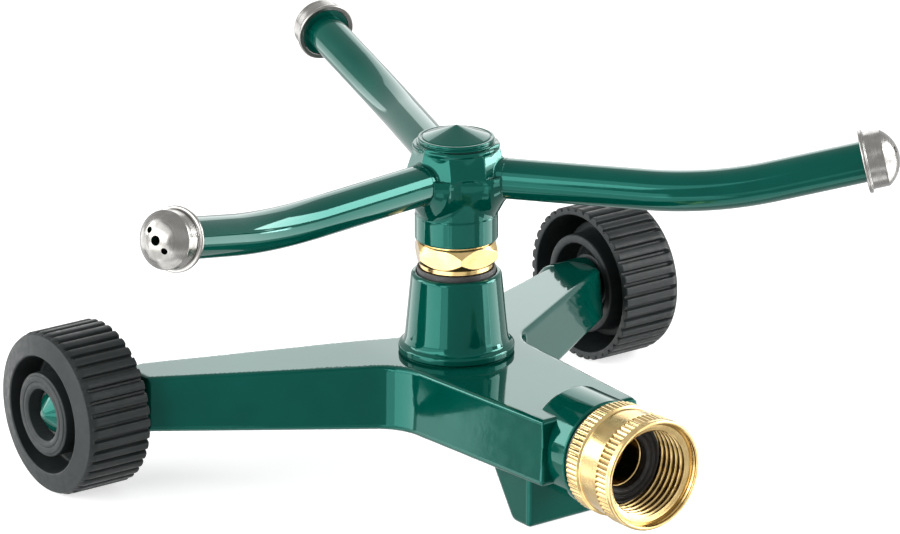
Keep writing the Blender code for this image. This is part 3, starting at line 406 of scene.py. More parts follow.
def surface_of(field, low, high, cell):
    """Points, quads and normals of a field's zero surface, one point to each cell that it crosses."""
    axes = [np.arange(low[axis], high[axis] + cell, cell) for axis in range(3)]
    values = field(axes[0][:, None, None], axes[1][None, :, None], axes[2][None, None, :])
    inside = values < 0.0
    corners = np.array(list(product((0, 1), repeat=3)))
    size = np.array(inside.shape) - 1
    count = sum(
        inside[i:size[0] + i, j:size[1] + j, k:size[2] + k].astype(np.int8) for i, j, k in corners
    )
    active = (count > 0) & (count < 8)
    index = np.full(active.shape, -1)
    index[active] = np.arange(active.sum())
    cells = np.argwhere(active)
    corner_values = values[tuple((cells[:, None, :] + corners).transpose(2, 0, 1))]
    total = np.zeros((len(cells), 3))
    hits = np.zeros((len(cells), 1))
    for first, second in product(range(8), repeat=2):
        if (corners[second] - corners[first]).sum() != 1 or (corners[second] < corners[first]).any():
            continue
        a, b = corner_values[:, first], corner_values[:, second]
        crossed = (a < 0) != (b < 0)
        share = np.where(crossed, a / np.where(crossed, a - b, 1.0), 0.0)
        place = corners[first] + share[:, None] * (corners[second] - corners[first])
        total += place * crossed[:, None]
        hits += crossed[:, None]
    points = np.array(low) + (cells + total / hits) * cell
    for _ in range(4):
        gradient = slope(field, points)
        step = field(*points.T) / np.maximum((gradient ** 2).sum(axis=1), 0.25)
        points -= gradient * np.clip(step, -cell / 2, cell / 2)[:, None]
    normals = slope(field, points)
    normals /= np.linalg.norm(normals, axis=1, keepdims=True)
    quads = []
    for axis in range(3):
        across, beyond = (axis + 1) % 3, (axis + 2) % 3
        ahead = np.roll(inside, -1, axis=axis)
        edges = np.argwhere(inside != ahead)
        keep = (edges[:, axis] < size[axis]) & (edges[:, across] > 0) & (edges[:, beyond] > 0)
        edges = edges[keep & (edges[:, across] < size[across]) & (edges[:, beyond] < size[beyond])]
        u, v = np.eye(3, dtype=int)[across], np.eye(3, dtype=int)[beyond]
        ring = np.stack([edges - u - v, edges - v, edges, edges - u], axis=1)
        found = index[ring[..., 0], ring[..., 1], ring[..., 2]]
        outward = inside[tuple(edges.T)]
        quads.append(found[outward])
        quads.append(found[~outward][:, ::-1])
    return points, np.concatenate(quads), normals


# Materials


def new_material(name, colour, roughness, metallic=0.0, **inputs):
    """A principled material; further inputs are named with underscores for spaces."""
    material = bpy.data.materials.new(name)
    material.use_nodes = True
    shader = material.node_tree.nodes["Principled BSDF"]
    shader.inputs["Base Color"].default_value = (*colour, 1.0)
    shader.inputs["Roughness"].default_value = roughness
    shader.inputs["Metallic"].default_value = metallic
    for key, value in inputs.items():
        shader.inputs[key.replace("_", " ")].default_value = value
    return material


def add_node(owner, kind, links=None, **settings):
    """A node of a material or world, with properties set by name and inputs set or linked."""
    tree = owner.node_tree
    node = tree.nodes.new(kind)
    for key, value in settings.items():
        setattr(node, key, value)
    for key, value in (links or {}).items():
        if isinstance(value, bpy.types.NodeSocket):
            tree.links.new(value, node.inputs[key])
        else:
            node.inputs[key].default_value = value
    return node


def shader_input(material, name):
    return material.node_tree.nodes["Principled BSDF"].inputs[name]


def noise(material, vector, scale, detail=2.0):
    node = add_node(material, "ShaderNodeTexNoise", {"Vector": vector, "Scale": scale, "Detail": detail})
    return node.outputs["Fac"]


def object_place(material):
    return add_node(material, "ShaderNodeTexCoord").outputs["Object"]


def turning_place(material):
    """Each point's place in the frame that its piece was drawn in, with the piece's axis as Z."""
    return add_node(material, "ShaderNodeAttribute", attribute_name=OWN_PLACE).outputs["Vector"]


def ramp(owner, factor, low, high, start=0.35, end=0.65):
    """A number that runs from low to high while the factor runs from start to end."""
    links = {"Value": factor, "From Min": start, "From Max": end, "To Min": low, "To Max": high}
    return add_node(owner, "ShaderNodeMapRange", links).outputs["Result"]


def blend_colours(material, factor, first, second):
    """A colour between two. The node has sockets of each kind under one name, so kinds are compared."""
    node = add_node(material, "ShaderNodeMix", data_type="RGBA")
    material.node_tree.links.new(factor, node.inputs["Factor"])
    colours = {"A": first, "B": second}
    for socket in node.inputs:
        if socket.type == "RGBA":
            socket.default_value = (*colours[socket.name], 1.0)
    return next(socket for socket in node.outputs if socket.type == "RGBA")


def add_bump(material, height, strength, distance):
    links = {"Height": height, "Strength": strength, "Distance": distance}
    bump = add_node(material, "ShaderNodeBump", links)
    material.node_tree.links.new(bump.outputs["Normal"], shader_input(material, "Normal"))


def vary(material, factor, input_name, low, high):
    value = ramp(material, factor, low, high)
    material.node_tree.links.new(value, shader_input(material, input_name))


def vary_colour(material, factor, first, second):
    colour = blend_colours(material, ramp(material, factor, 0.0, 1.0), first, second)
    material.node_tree.links.new(colour, shader_input(material, "Base Color"))


def turning_marks(material, scale):
    """Noise that is even round local Z, as a lathe tool leaves it."""
    parts = add_node(material, "ShaderNodeSeparateXYZ", {"Vector": turning_place(material)})
    x, y, z = (parts.outputs[axis] for axis in "XYZ")
    square = add_node(material, "ShaderNodeMath", {0: x, 1: x}, operation="MULTIPLY").outputs[0]
    total = add_node(material, "ShaderNodeMath", {0: y, 1: y, 2: square}, operation="MULTIPLY_ADD")
    radius = add_node(material, "ShaderNodeMath", {0: total.outputs[0]}, operation="SQRT")
    ring = add_node(material, "ShaderNodeCombineXYZ", {"X": radius.outputs[0], "Z": z})
    return noise(material, ring.outputs["Vector"], scale)


def make_enamel():
    """Deep green stove enamel: its mirror-like skin is green face on and pale at a grazing angle."""
    material = new_material(
        "green_enamel", (0.0, 0.038, 0.0275), 0.06, IOR=1.43, Specular_Tint=(0.24, 1.0, 0.84, 1.0)
    )
    place = object_place(material)
    vary_colour(material, noise(material, place, 60.0), (0.0, 0.035, 0.0255), (0.0, 0.041, 0.0295))
    vary(material, noise(material, place, 220.0), "Roughness", 0.04, 0.08)
    add_bump(material, noise(material, place, 260.0), 0.006, 0.001)
    return material


def make_brass():
    material = new_material("turned_brass", (0.47, 0.335, 0.135), 0.2, 1.0)
    marks = turning_marks(material, 5200.0)
    vary(material, marks, "Roughness", 0.13, 0.27)
    tarnish = noise(material, object_place(material), 180.0)
    vary_colour(material, tarnish, (0.45, 0.32, 0.135), (0.54, 0.40, 0.185))
    add_bump(material, marks, 0.12, 0.0002)
    return material


def make_steel():
    material = new_material("stainless_sheet", (0.21, 0.205, 0.195), 0.22, 1.0)
    marks = turning_marks(material, 3600.0)
    vary(material, marks, "Roughness", 0.16, 0.30)
    clouding = noise(material, object_place(material), 240.0)
    vary_colour(material, clouding, (0.19, 0.185, 0.175), (0.25, 0.245, 0.235))
    add_bump(material, marks, 0.04, 0.0002)
    return material


def make_zinc():
    material = new_material("zinc_plate", (0.22, 0.22, 0.22), 0.4, 1.0)
    marks = turning_marks(material, 2500.0)
    vary(material, marks, "Roughness", 0.32, 0.5)
    return material


def make_plastic():
    material = new_material("black_plastic", (0.010, 0.013, 0.013), 0.42, Specular_IOR_Level=0.15)
    place = object_place(material)
    vary_colour(material, noise(material, place, 120.0), (0.010, 0.013, 0.013), (0.015, 0.018, 0.018))
    vary(material, noise(material, place, 500.0), "Roughness", 0.36, 0.5)
    add_bump(material, noise(material, place, 2600.0, 3.0), 0.10, 0.0003)
    return material


def make_rubber():
    material = new_material("black_rubber", (0.014, 0.014, 0.015), 0.55)
    place = object_place(material)
    vary_colour(material, noise(material, place, 300.0), (0.011, 0.011, 0.012), (0.022, 0.022, 0.022))
    vary(material, noise(material, place, 900.0), "Roughness", 0.45, 0.65)
    add_bump(material, noise(material, place, 4000.0), 0.08, 0.0002)
    return material


def make_nylon():
    material = new_material("white_nylon", (0.70, 0.68, 0.62), 0.4, Subsurface_Weight=0.2)
    vary(material, noise(material, object_place(material), 800.0), "Roughness", 0.34, 0.48)
    return material


# Pieces


def add_object(name, data):
    added = bpy.data.objects.new(name, data)
    bpy.context.scene.collection.objects.link(added)
    return added


def add_piece(name, shape, material, body, place=Matrix.Identity(4), stands_for=(), sharp=40.0,
              drill=None):
    """A piece drawn in its own frame and put in place in its mesh, with its material, body and slot.

    A shape is points and faces, with the points' normals where they are known. drill(mesh) returns
    the mesh with holes cut in it. sharp is the angle in degrees from which an edge stays sharp.
    """
    points, faces = shape[:2]
    mesh = bpy.data.meshes.new(name)
    mesh.from_pydata((np.array(points) * MM).tolist(), [], [tuple(map(int, face)) for face in faces])
    if drill:
        mesh = drill(mesh)
        mesh.name = name
    mesh.materials.append(material)
    mesh.shade_smooth()
    coordinates = np.empty(3 * len(mesh.vertices), np.float32)
    mesh.vertices.foreach_get("co", coordinates)
    mesh.attributes.new(OWN_PLACE, "FLOAT_VECTOR", "POINT").data.foreach_set("vector", coordinates)
    moved = place.copy()
    moved.translation = place.translation * MM
    mesh.transform(moved)
    if len(shape) > 2:
        mesh.normals_split_custom_set_from_vertices(shape[2].tolist())
    else:
        mesh.set_sharp_from_angle(angle=radians(sharp))
    piece = add_object(name, mesh)
    piece.matrix_world = MODEL_FRAME
    if len(shape) == 2:
        weighted = piece.modifiers.new("weighted_normals", "WEIGHTED_NORMAL")
        weighted.keep_sharp = True
        weighted.weight = 80
    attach(piece, body)
    if stands_for:
        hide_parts(*stands_for)
    return piece


def leg_edge(root_y, end_y, x):
    """Y of a leg's front or rear edge at a distance x from the middle plane."""
    return root_y + (end_y - root_y) * x / LEG_END_X


def base_outline():
    """Plan of the base: two legs and the inlet arm, mirrored about X = 0."""
    leg_slope = (LEG_FRONT_END_Y - LEG_FRONT_ROOT_Y) / LEG_END_X
    arm_slope = (INLET_ARM_HALF_WIDTH - INLET_ARM_END_HALF_WIDTH) / -INLET_ARM_END_Y
    crotch_y = (LEG_FRONT_ROOT_Y + leg_slope * INLET_ARM_HALF_WIDTH) / (1 - leg_slope * arm_slope)
    crotch_x = INLET_ARM_HALF_WIDTH + arm_slope * crotch_y
    right = [
        (LEG_END_X, LEG_REAR_END_Y, REAR_CORNER_FILLET),
        (LEG_END_X, LEG_FRONT_END_Y, END_CORNER_FILLET),
        (crotch_x, crotch_y, CROTCH_FILLET),
        (INLET_ARM_END_HALF_WIDTH, INLET_ARM_END_Y, INLET_CORNER_FILLET),
    ]
    left = [(-x, y, radius) for x, y, radius in reversed(right)]
    corners = [(0.0, LEG_REAR_ROOT_Y, REAR_FILLET)] + right + left
    return softened(corners, step_angle=radians(2.5))


def pocket_outline():
    """Plan of the hollow under the right leg; the left leg's is its mirror image."""
    corners = []
    for x in (LEG_POCKET_START_X, LEG_POCKET_END_X):
        front = leg_edge(LEG_FRONT_ROOT_Y, LEG_FRONT_END_Y, x) + LEG_POCKET_WALL
        rear = leg_edge(LEG_REAR_ROOT_Y, LEG_REAR_END_Y, x) - LEG_POCKET_WALL
        corners.append((x, front, END_CORNER_FILLET))
        corners.append((x, rear, END_CORNER_FILLET))
    return softened([corners[0], corners[2], corners[3], corners[1]])


BASE_OUTLINE = base_outline()
POCKET_OUTLINE = pocket_outline()
FOOT_OUTLINE = softened([
    (FOOT_FRONT_Y, 0.0, 1.0),
    (FOOT_HEEL_Y, 0.0, 3.0),
    (FOOT_ROOT_Y, FOOT_ROOT_Z),
    (FOOT_FRONT_Y, FOOT_ROOT_Z),
])
AXLE_BOSS_OUTLINE = softened([
    (AXLE_BOSS_END_X, -AXLE_BOSS_RADIUS),
    (AXLE_BOSS_END_X, AXLE_BOSS_RADIUS, 0.8),
    (AXLE_BOSS_START_X, AXLE_BOSS_RADIUS, 3.0),
    (AXLE_BOSS_START_X - AXLE_BOSS_TAPER, 0.35 * AXLE_BOSS_RADIUS, 1.0),
    (AXLE_BOSS_START_X - AXLE_BOSS_TAPER, -AXLE_BOSS_RADIUS),
])


def casting_field(x, y, z):
    """The base casting without its tower, inlet barrel and stub axles."""
    past_start = np.abs(x) - LEG_SLOPE_START_X
    ramped = (past_start + np.sqrt(past_start ** 2 + LEG_SLOPE_BLEND ** 2)) / 2
    along_leg = ramped / (LEG_END_X - LEG_SLOPE_START_X)
    top = BASE_TOP - LEG_END_DROP * along_leg
    bottom = BASE_BOTTOM + LEG_END_RISE * along_leg
    share = np.clip((z - bottom) / (top - bottom), 0.0, 1.0)
    side = outline_distance(BASE_OUTLINE, x, y) + BASE_DRAFT * share
    body = common(common(side, z - top, EDGE_ROUNDING), bottom - z, EDGE_ROUNDING)
    from_inlet_axis = np.hypot(x, z - INLET_Z)
    foot = common(outline_distance(FOOT_OUTLINE, y, z), np.abs(x) - FOOT_HALF_WIDTH, 1.2)
    body = joined(body, foot, 1.6)
    boss = outline_distance(AXLE_BOSS_OUTLINE, np.abs(x), np.hypot(y - AXLE_Y, z - AXLE_Z))
    body = joined(body, boss, 2.0)
    pocket = common(outline_distance(POCKET_OUTLINE, np.abs(x), y), z - LEG_POCKET_ROOF_Z, 1.5)
    body = common(body, -pocket, 0.8)
    waterway = np.maximum(from_inlet_axis - WATERWAY_RADIUS, y - WATERWAY_END_Y)
    tail_hole = np.maximum(from_inlet_axis - TAIL_HOLE_RADIUS, y - TAIL_HOLE_END_Y)
    body = np.maximum(body, -np.minimum(waterway, tail_hole))
    riser = np.maximum(np.hypot(x, y) - POST_HOLE_RADIUS, INLET_Z - z)
    return np.maximum(body, -riser)


def axle_frame(side):
    """Frame on a wheel's axis at the middle plane, local +Z outwards; side is -1 left and 1 right."""
    return Matrix.Translation((0.0, AXLE_Y, AXLE_Z)) @ Matrix.Rotation(side * pi / 2, 4, "Y")


def make_base(enamel):
    casting = surface_of(casting_field, (-97.0, -77.0, -1.0), (97.0, 67.0, 46.0), 0.8)
    add_piece("casting_body", casting, enamel, "base", stands_for=("base_casting",))
    # The barrel's section runs up its outer side, so its faces point inwards
    barrel = softened([
        (BARREL_RADIUS, -BARREL_BACK_Y, 2.0),
        (BARREL_RADIUS, -BARREL_FACE_Y, 0.8),
        (TAIL_HOLE_RADIUS, -BARREL_FACE_Y),
        (TAIL_HOLE_RADIUS, -BARREL_BACK_Y),
    ])
    add_piece("inlet_barrel", turned(barrel, 128), enamel, "base", INLET_FRAME,
              ("base_casting",))
    flange_foot = FLANGE_RADIUS - 0.7
    seal_seat = POST_NECK_RADIUS + 0.9
    tower = softened([
        (seal_seat, TOWER_TOP, 0.5),
        (TOWER_TOP_RADIUS, TOWER_TOP, 1.4),
        (TOWER_FOOT_RADIUS, TOWER_FOOT_Z, 6.0),
        (TOWER_FOOT_RADIUS + 0.6, FLANGE_TOP + 0.2, 1.2),
        (FLANGE_RADIUS, FLANGE_TOP - 0.6, 0.9),
        (FLANGE_RADIUS, BASE_TOP + 0.7, 0.5),
        (flange_foot, BASE_TOP + 0.1, 0.3),
        (flange_foot, BASE_TOP - 3.0),
        (POST_HOLE_RADIUS, BASE_TOP - 3.0),
        (POST_HOLE_RADIUS, POST_SEAT_Z),
        (seal_seat, POST_SEAT_Z),
    ], step_angle=radians(12))
    add_piece("tower", turned(tower, 128), enamel, "base", stands_for=("base_casting",))
    rim = AXLE_HEAD_X + AXLE_HEAD_THICKNESS
    axle = softened([
        (0.0, rim + AXLE_HEAD_CONE),
        (1.2, rim + AXLE_HEAD_CONE, 1.0),
        (5.4, rim - 1.2, 1.2),
        (AXLE_HEAD_RADIUS, rim - 2.0, 0.2),
        (AXLE_RADIUS, AXLE_HEAD_X, 0.2),
        (AXLE_RADIUS, AXLE_BOSS_END_X - 1.0),
        (0.0, AXLE_BOSS_END_X - 1.0),
    ], closed=False)
    for name, side in (("left_axle_end", -1), ("right_axle_end", 1)):
        add_piece(name, turned(axle, 96), enamel, "base", axle_frame(side), ("base_casting",))


def wheel_angles():
    """Angles of a wheel's columns, close together at the flanks of the ribs."""
    shares = (0.0, 0.12, 0.22, 0.27, 0.31, 0.34, 0.37, 0.40, 0.43)
    pitch = 2 * pi / RIB_COUNT
    offsets = sorted({*shares, *(-share for share in shares), 0.5})
    return np.array([(rib + offset) * pitch for rib in range(RIB_COUNT) for offset in offsets])


def ribbed(radius, height, angle):
    """The tread's grooves, cut down to the root radius; they run out on the bevel of the face."""
    pitch = 2 * pi / RIB_COUNT
    offset = np.abs((angle / pitch + 0.5) % 1.0 - 0.5)
    share = np.clip((offset - RIB_HALF_LAND) / RIB_FLANK, 0.0, 1.0)
    groove = share * share * (3 - 2 * share)
    run_out = np.clip((height - WHEEL_RIM_WIDTH + RIB_RUN_OUT_START) / RIB_RUN_OUT_LENGTH, 0.0, 1.0)
    floor = RIB_ROOT_RADIUS + RIB_RUN_OUT_RISE * run_out
    above_root = np.maximum(radius - floor, 0.0)
    on_tread = radius > RIB_ROOT_RADIUS + 0.8
    crown = RIB_CROWN * (offset / RIB_HALF_LAND) ** 2 * on_tread
    return radius - groove * above_root - crown * (1 - groove), height


def wheel_profile():
    """Section of a wheel from its axle hole's rim round the tread to the hollow inner side."""
    ring_face = WHEEL_WIDTH - 0.1
    ring_edge = ring_face - 0.4
    groove_floor = WHEEL_WIDTH - HUB_GROOVE_DEPTH
    step_roof = groove_floor - WHEEL_FACE_WALL
    cavity_roof = WHEEL_WIDTH - WHEEL_FACE_WALL
    cavity_radius = HUB_GROOVE_RADIUS + HUB_GROOVE_WALL
    rim_bore = WHEEL_RADIUS - WHEEL_RIM_WALL
    pocket_floor = WHEEL_WIDTH - HUB_POCKET_DEPTH
    return softened([
        (HUB_POCKET_RADIUS, ring_edge, 0.5),
        (HUB_POCKET_RADIUS + 1.0, ring_face, 0.5),
        (HUB_LINE_RADIUS - 0.3, ring_face, 0.1),
        (HUB_LINE_RADIUS, ring_face - 0.25, 0.1),
        (HUB_LINE_RADIUS + 0.3, ring_face, 0.1),
        (HUB_RING_RADIUS - 1.1, ring_face, 0.3),
        (HUB_RING_RADIUS - 0.8, ring_edge, 0.2),
        (HUB_RING_RADIUS, ring_edge, 0.5),
        (HUB_RING_RADIUS, groove_floor, 1.0),
        (HUB_GROOVE_RADIUS, groove_floor, 1.0),
        (HUB_GROOVE_RADIUS, WHEEL_WIDTH - 0.2, 0.5),
        (WHEEL_RADIUS - 0.9, WHEEL_RIM_WIDTH, 0.4),
        (WHEEL_RADIUS - 0.45, WHEEL_RIM_WIDTH - 0.9),
        (WHEEL_RADIUS - 0.2, WHEEL_RIM_WIDTH - 1.5),
        (WHEEL_RADIUS, WHEEL_RIM_WIDTH - 2.2, 0.4),
        (WHEEL_RADIUS, WHEEL_RIM_WIDTH - 2.9),
        (WHEEL_RADIUS, 10.0),
        (WHEEL_RADIUS, 0.0, 0.4),
        (rim_bore, 0.0, 0.5),
        (rim_bore, cavity_roof, 1.2),
        (cavity_radius, cavity_roof, 1.2),
        (cavity_radius, step_roof, 0.6),
        (HUB_TUBE_RADIUS, step_roof, 1.2),
        (HUB_TUBE_RADIUS, 0.0, 0.9),
        (HUB_TUBE_BORE, 0.0, 0.9),
        (HUB_TUBE_BORE, HUB_RECESS_DEPTH, 0.8),
        (HUB_NOSE_RADIUS, HUB_RECESS_DEPTH, 0.6),
        (HUB_NOSE_RADIUS, HUB_NOSE_DEPTH, 0.5),
        (AXLE_HOLE_RADIUS, HUB_NOSE_DEPTH, 0.3),
        (AXLE_HOLE_RADIUS, pocket_floor),
        (HUB_POCKET_RADIUS, pocket_floor, 0.5),
    ], step_angle=radians(24))


def make_wheels(plastic, zinc):
    shape = turned(wheel_profile(), wheel_angles(), shape_at=ribbed)
    washer = ring_section(WASHER_BORE, WASHER_RADIUS, 0.0, WASHER_THICKNESS, upper_fillet=0.2)
    washer_seat = WHEEL_WIDTH - HUB_POCKET_DEPTH + CLEARANCE
    for body, side in (("left_wheel", -1), ("right_wheel", 1)):
        place = axle_frame(side) @ Matrix.Translation((0.0, 0.0, WHEEL_INNER_FACE_X))
        add_piece(f"{body}_moulding", shape, plastic, body, place, (body,), 30.0)
        washer_place = place @ Matrix.Translation((0.0, 0.0, washer_seat))
        add_piece(f"{body}_washer_ring", turned(washer, 48), zinc, "base",
                  washer_place, (f"{body}_washer",))


def knurled(radius, height, angle):
    """Straight knurling on the nut's two raised bands; the nut's rear face is at height zero."""
    share = (angle * KNURL_COUNT / (2 * pi)) % 1.0
    valley = np.clip(np.abs(share - 0.5) * 2.6 - 0.3, 0.0, 1.0)
    in_band = False
    for start, end in (NUT_REAR_BAND, NUT_FRONT_BAND):
        in_band = in_band | ((height > start + 0.1) & (height < end - 0.1))
    on_band = in_band & (radius > NUT_BAND_RADIUS - 0.1)
    return radius - KNURL_DEPTH * valley * on_band, height


def threaded(radius, height, angle):
    """The hose thread inside the nut; it runs out at both ends."""
    share = (height / THREAD_PITCH + angle / (2 * pi)) % 1.0
    ridge = np.clip(1.4 - 3.2 * np.abs(share - 0.5), 0.0, 1.0)
    cut = THREAD_ROOT_RADIUS - (THREAD_ROOT_RADIUS - THREAD_CREST_RADIUS) * ridge
    inside = (radius < THREAD_ROOT_RADIUS + 0.05) & (height > THREAD_START) & (height < THREAD_END)
    return np.where(inside, cut, radius), height


def make_coupling(brass):
    """The swivel nut: a knurled shell and the threaded liner inside it."""
    nut_place = INLET_FRAME @ Matrix.Translation((0.0, 0.0, -NUT_REAR_Y))
    split = THREAD_ROOT_RADIUS + 0.5
    rear_start, rear_end = NUT_REAR_BAND
    front_start, front_end = NUT_FRONT_BAND
    shell = softened([
        (split, NUT_LENGTH - 1.9),
        (NUT_RIM_RADIUS - 1.2, NUT_LENGTH - 0.7, 0.5),
        (NUT_RIM_RADIUS - 1.0, NUT_LENGTH, 0.3),
        (NUT_RIM_RADIUS, NUT_LENGTH, 0.5),
        (NUT_RIM_RADIUS, front_end + 0.25, 0.1),
        (NUT_BAND_RADIUS, front_end, 0.1),
        (NUT_BAND_RADIUS, front_end - 0.12),
        (NUT_BAND_RADIUS, front_start + 0.12),
        (NUT_BAND_RADIUS, front_start, 0.1),
        (NUT_WAIST_RADIUS, front_start - 0.5, 0.4),
        (NUT_WAIST_RADIUS, rear_end + 0.5, 0.4),
        (NUT_BAND_RADIUS, rear_end, 0.1),
        (NUT_BAND_RADIUS, rear_end - 0.12),
        (NUT_BAND_RADIUS, rear_start + 0.12),
        (NUT_BAND_RADIUS - 0.5, 0.0, 0.2),
        (split, 0.0),
    ])
    outside = turned(shell, KNURL_COUNT * 8, shape_at=knurled)
    add_piece("coupling_shell", outside, brass, "coupling", nut_place, ("hose_coupling_nut",), 50.0)
    bore_end = THREAD_START - 0.5
    liner_end = THREAD_END + 0.1
    liner = [
        (split + 0.3, 0.2),
        (NUT_REAR_BORE, 0.2),
        (NUT_REAR_BORE, bore_end),
        (THREAD_ROOT_RADIUS, bore_end),
        *((THREAD_ROOT_RADIUS, height) for height in np.linspace(THREAD_START, THREAD_END, 96)),
        (THREAD_ROOT_RADIUS + 0.1, liner_end),
        (split + 0.3, liner_end),
    ]
    inside = turned(liner, 144, shape_at=threaded)
    add_piece("coupling_thread", inside, brass, "coupling", nut_place, ("hose_coupling_nut",), 60.0)


def make_tailpiece(brass):
    bore_step = -TAIL_FACE_Y - TAIL_WIDE_BORE_DEPTH
    tail = softened([
        (TAIL_NARROW_BORE, bore_step, 0.3),
        (TAIL_BORE, bore_step, 0.3),
        (TAIL_BORE, -TAIL_FACE_Y, 0.5),
        (TAIL_FLANGE_RADIUS, -TAIL_FACE_Y, 0.3),
        (TAIL_FLANGE_RADIUS, -TAIL_FLANGE_REAR_Y, 0.3),
        (TAIL_RADIUS, -TAIL_FLANGE_REAR_Y),
        (TAIL_RADIUS, -TAIL_INNER_END_Y),
        (TAIL_NARROW_BORE, -TAIL_INNER_END_Y),
    ])
    add_piece("tailpiece", turned(tail, 72), brass, "base", INLET_FRAME, ("inlet_tailpiece",))


def make_inlet_seals(rubber):
    """The hose seal, with two grooves in its face, and the flat seal behind the nut."""
    seal_back = -TAIL_FACE_Y + CLEARANCE
    seal_front = seal_back + HOSE_SEAL_THICKNESS
    seal = softened([
        (HOSE_SEAL_BORE, seal_front - 0.7, 0.4),
        (HOSE_SEAL_BORE + 0.7, seal_front, 0.3),
        (9.5, seal_front, 0.2),
        (9.8, seal_front - 0.5, 0.2),
        (10.3, seal_front - 0.5, 0.2),
        (10.6, seal_front, 0.2),
        (11.3, seal_front, 0.2),
        (11.6, seal_front - 0.4, 0.2),
        (12.0, seal_front - 0.4, 0.2),
        (HOSE_SEAL_RADIUS, seal_front - 0.1, 0.2),
        (HOSE_SEAL_RADIUS, seal_back, 0.3),
        (HOSE_SEAL_BORE, seal_back, 0.3),
    ])
    add_piece("hose_seal", turned(seal, 72), rubber, "coupling", INLET_FRAME,
              ("hose_washer",))
    gasket_back = -BARREL_FACE_Y + CLEARANCE
    gasket_front = gasket_back + INLET_SEAL_THICKNESS
    gasket = ring_section(TAIL_HOLE_RADIUS, INLET_SEAL_RADIUS, gasket_back, gasket_front, 0.3, 0.3)
    add_piece("inlet_seal", turned(gasket, 96), rubber, "base", INLET_FRAME,
              ("inlet_gasket",))


def hexagonal(radius, height, angle):
    """The post's hexagon: rows at its corners move in to the flats, which cones cut to lens shapes."""
    flat_radius = HEX_FLAT_DISTANCE / np.cos((angle % (pi / 3)) - pi / 6)
    slant = (HEX_CORNER_RADIUS + 0.1 - HEX_FACE_RADIUS) / HEX_CHAMFER_HEIGHT
    inward = np.sign(height - (HEX_TOP + HEX_BOTTOM) / 2) * (flat_radius - HEX_FACE_RADIUS) / slant
    on_flat = radius > HEX_FACE_RADIUS
    return np.where(on_flat, flat_radius, radius), np.where(on_flat, height - inward, height)


def make_post(brass):
    shoulder_radius = POST_NECK_RADIUS - 0.2
    groove_radius = POST_NECK_RADIUS - 0.6
    post = softened([
        (POST_BORE, POST_TOP),
        (POST_THREAD_RADIUS, POST_TOP),
        (POST_THREAD_RADIUS, POST_LAND_TOP),
        (POST_LAND_RADIUS, POST_LAND_TOP),
        (POST_LAND_RADIUS, POST_SHOULDER_Z),
        (shoulder_radius, POST_SHOULDER_Z, 0.3),
        (shoulder_radius, HEX_TOP - 0.5),
        (POST_NECK_RADIUS, HEX_BOTTOM + 0.5),
        (POST_NECK_RADIUS, POST_GROOVE_Z + 1.1, 0.3),
        (groove_radius, POST_GROOVE_Z + 0.5, 0.3),
        (groove_radius, POST_GROOVE_Z - 0.5, 0.3),
        (POST_NECK_RADIUS, POST_GROOVE_Z - 1.1, 0.3),
        (POST_NECK_RADIUS, POST_NECK_BOTTOM),
        (POST_FOOT_RADIUS, POST_NECK_BOTTOM),
        (POST_FOOT_RADIUS, POST_FOOT_Z),
        (POST_BORE, POST_FOOT_Z),
    ])
    add_piece("post_stem", turned(post, 96), brass, "base", stands_for=("bearing_post",))
    collar_section = [
        (HEX_BORE, HEX_TOP),
        (HEX_FACE_RADIUS, HEX_TOP),
        (HEX_CORNER_RADIUS, HEX_TOP),
        (HEX_CORNER_RADIUS, HEX_BOTTOM),
        (HEX_FACE_RADIUS, HEX_BOTTOM),
        (HEX_BORE, HEX_BOTTOM),
    ]
    hexagon = turned(collar_section, 96, shape_at=hexagonal)
    collar = add_piece("hex_collar", hexagon, brass, "base", stands_for=("bearing_post",),
                       sharp=14.0)
    edges = collar.modifiers.new("edges", "BEVEL")
    edges.width = HEX_EDGE_BEVEL * MM
    edges.segments = 2
    edges.limit_method = "ANGLE"
    edges.angle_limit = radians(14)
    edges.harden_normals = True
    collar.modifiers.remove(collar.modifiers["weighted_normals"])


def make_post_seal(rubber):
    """The seal under the post's shoulder, with a lip that stands up round its neck."""
    lip_bore = POST_NECK_RADIUS + 0.1
    lip_radius = POST_NECK_RADIUS + 0.75
    bottom = POST_SEAT_Z + 0.1
    web_top = POST_SEAT_Z + 1.4
    seal = softened([
        (lip_bore, POST_SEAL_TOP, 0.2),
        (lip_radius, POST_SEAL_TOP, 0.3),
        (lip_radius, bottom),
        (POST_SEAL_BORE, bottom),
        (POST_SEAL_BORE, web_top),
        (lip_bore, web_top),
    ])
    add_piece("post_seal", turned(seal, 96), rubber, "base", stands_for=("post_gasket",))


def arm_azimuth(index):
    return ARM_REST_AZIMUTH + index * 2 * pi / ARM_COUNT


def head_outline():
    """Half section of the head as (radius, height), closed across the axis."""
    crown = HEAD_CROWN_RADIUS
    return softened([
        (PAST_AXIS, HEAD_TOP),
        (crown - 0.2, HEAD_TOP, 0.4),
        (crown, HEAD_TOP - 0.7, 0.5),
        (crown - 0.4, HEAD_TOP - 1.3, 0.4),
        (crown - 0.4, HEAD_CROWN_START, 0.5),
        (HEAD_RADIUS, HEAD_CROWN_START - 0.2, 1.0),
        (HEAD_RADIUS, HEAD_SKIRT_TOP + 0.5, 0.15),
        (HEAD_SKIRT_RADIUS, HEAD_SKIRT_TOP + 0.1, 0.15),
        (HEAD_SKIRT_RADIUS, HEAD_BOTTOM, 0.5),
        (PAST_AXIS, HEAD_BOTTOM),
    ])


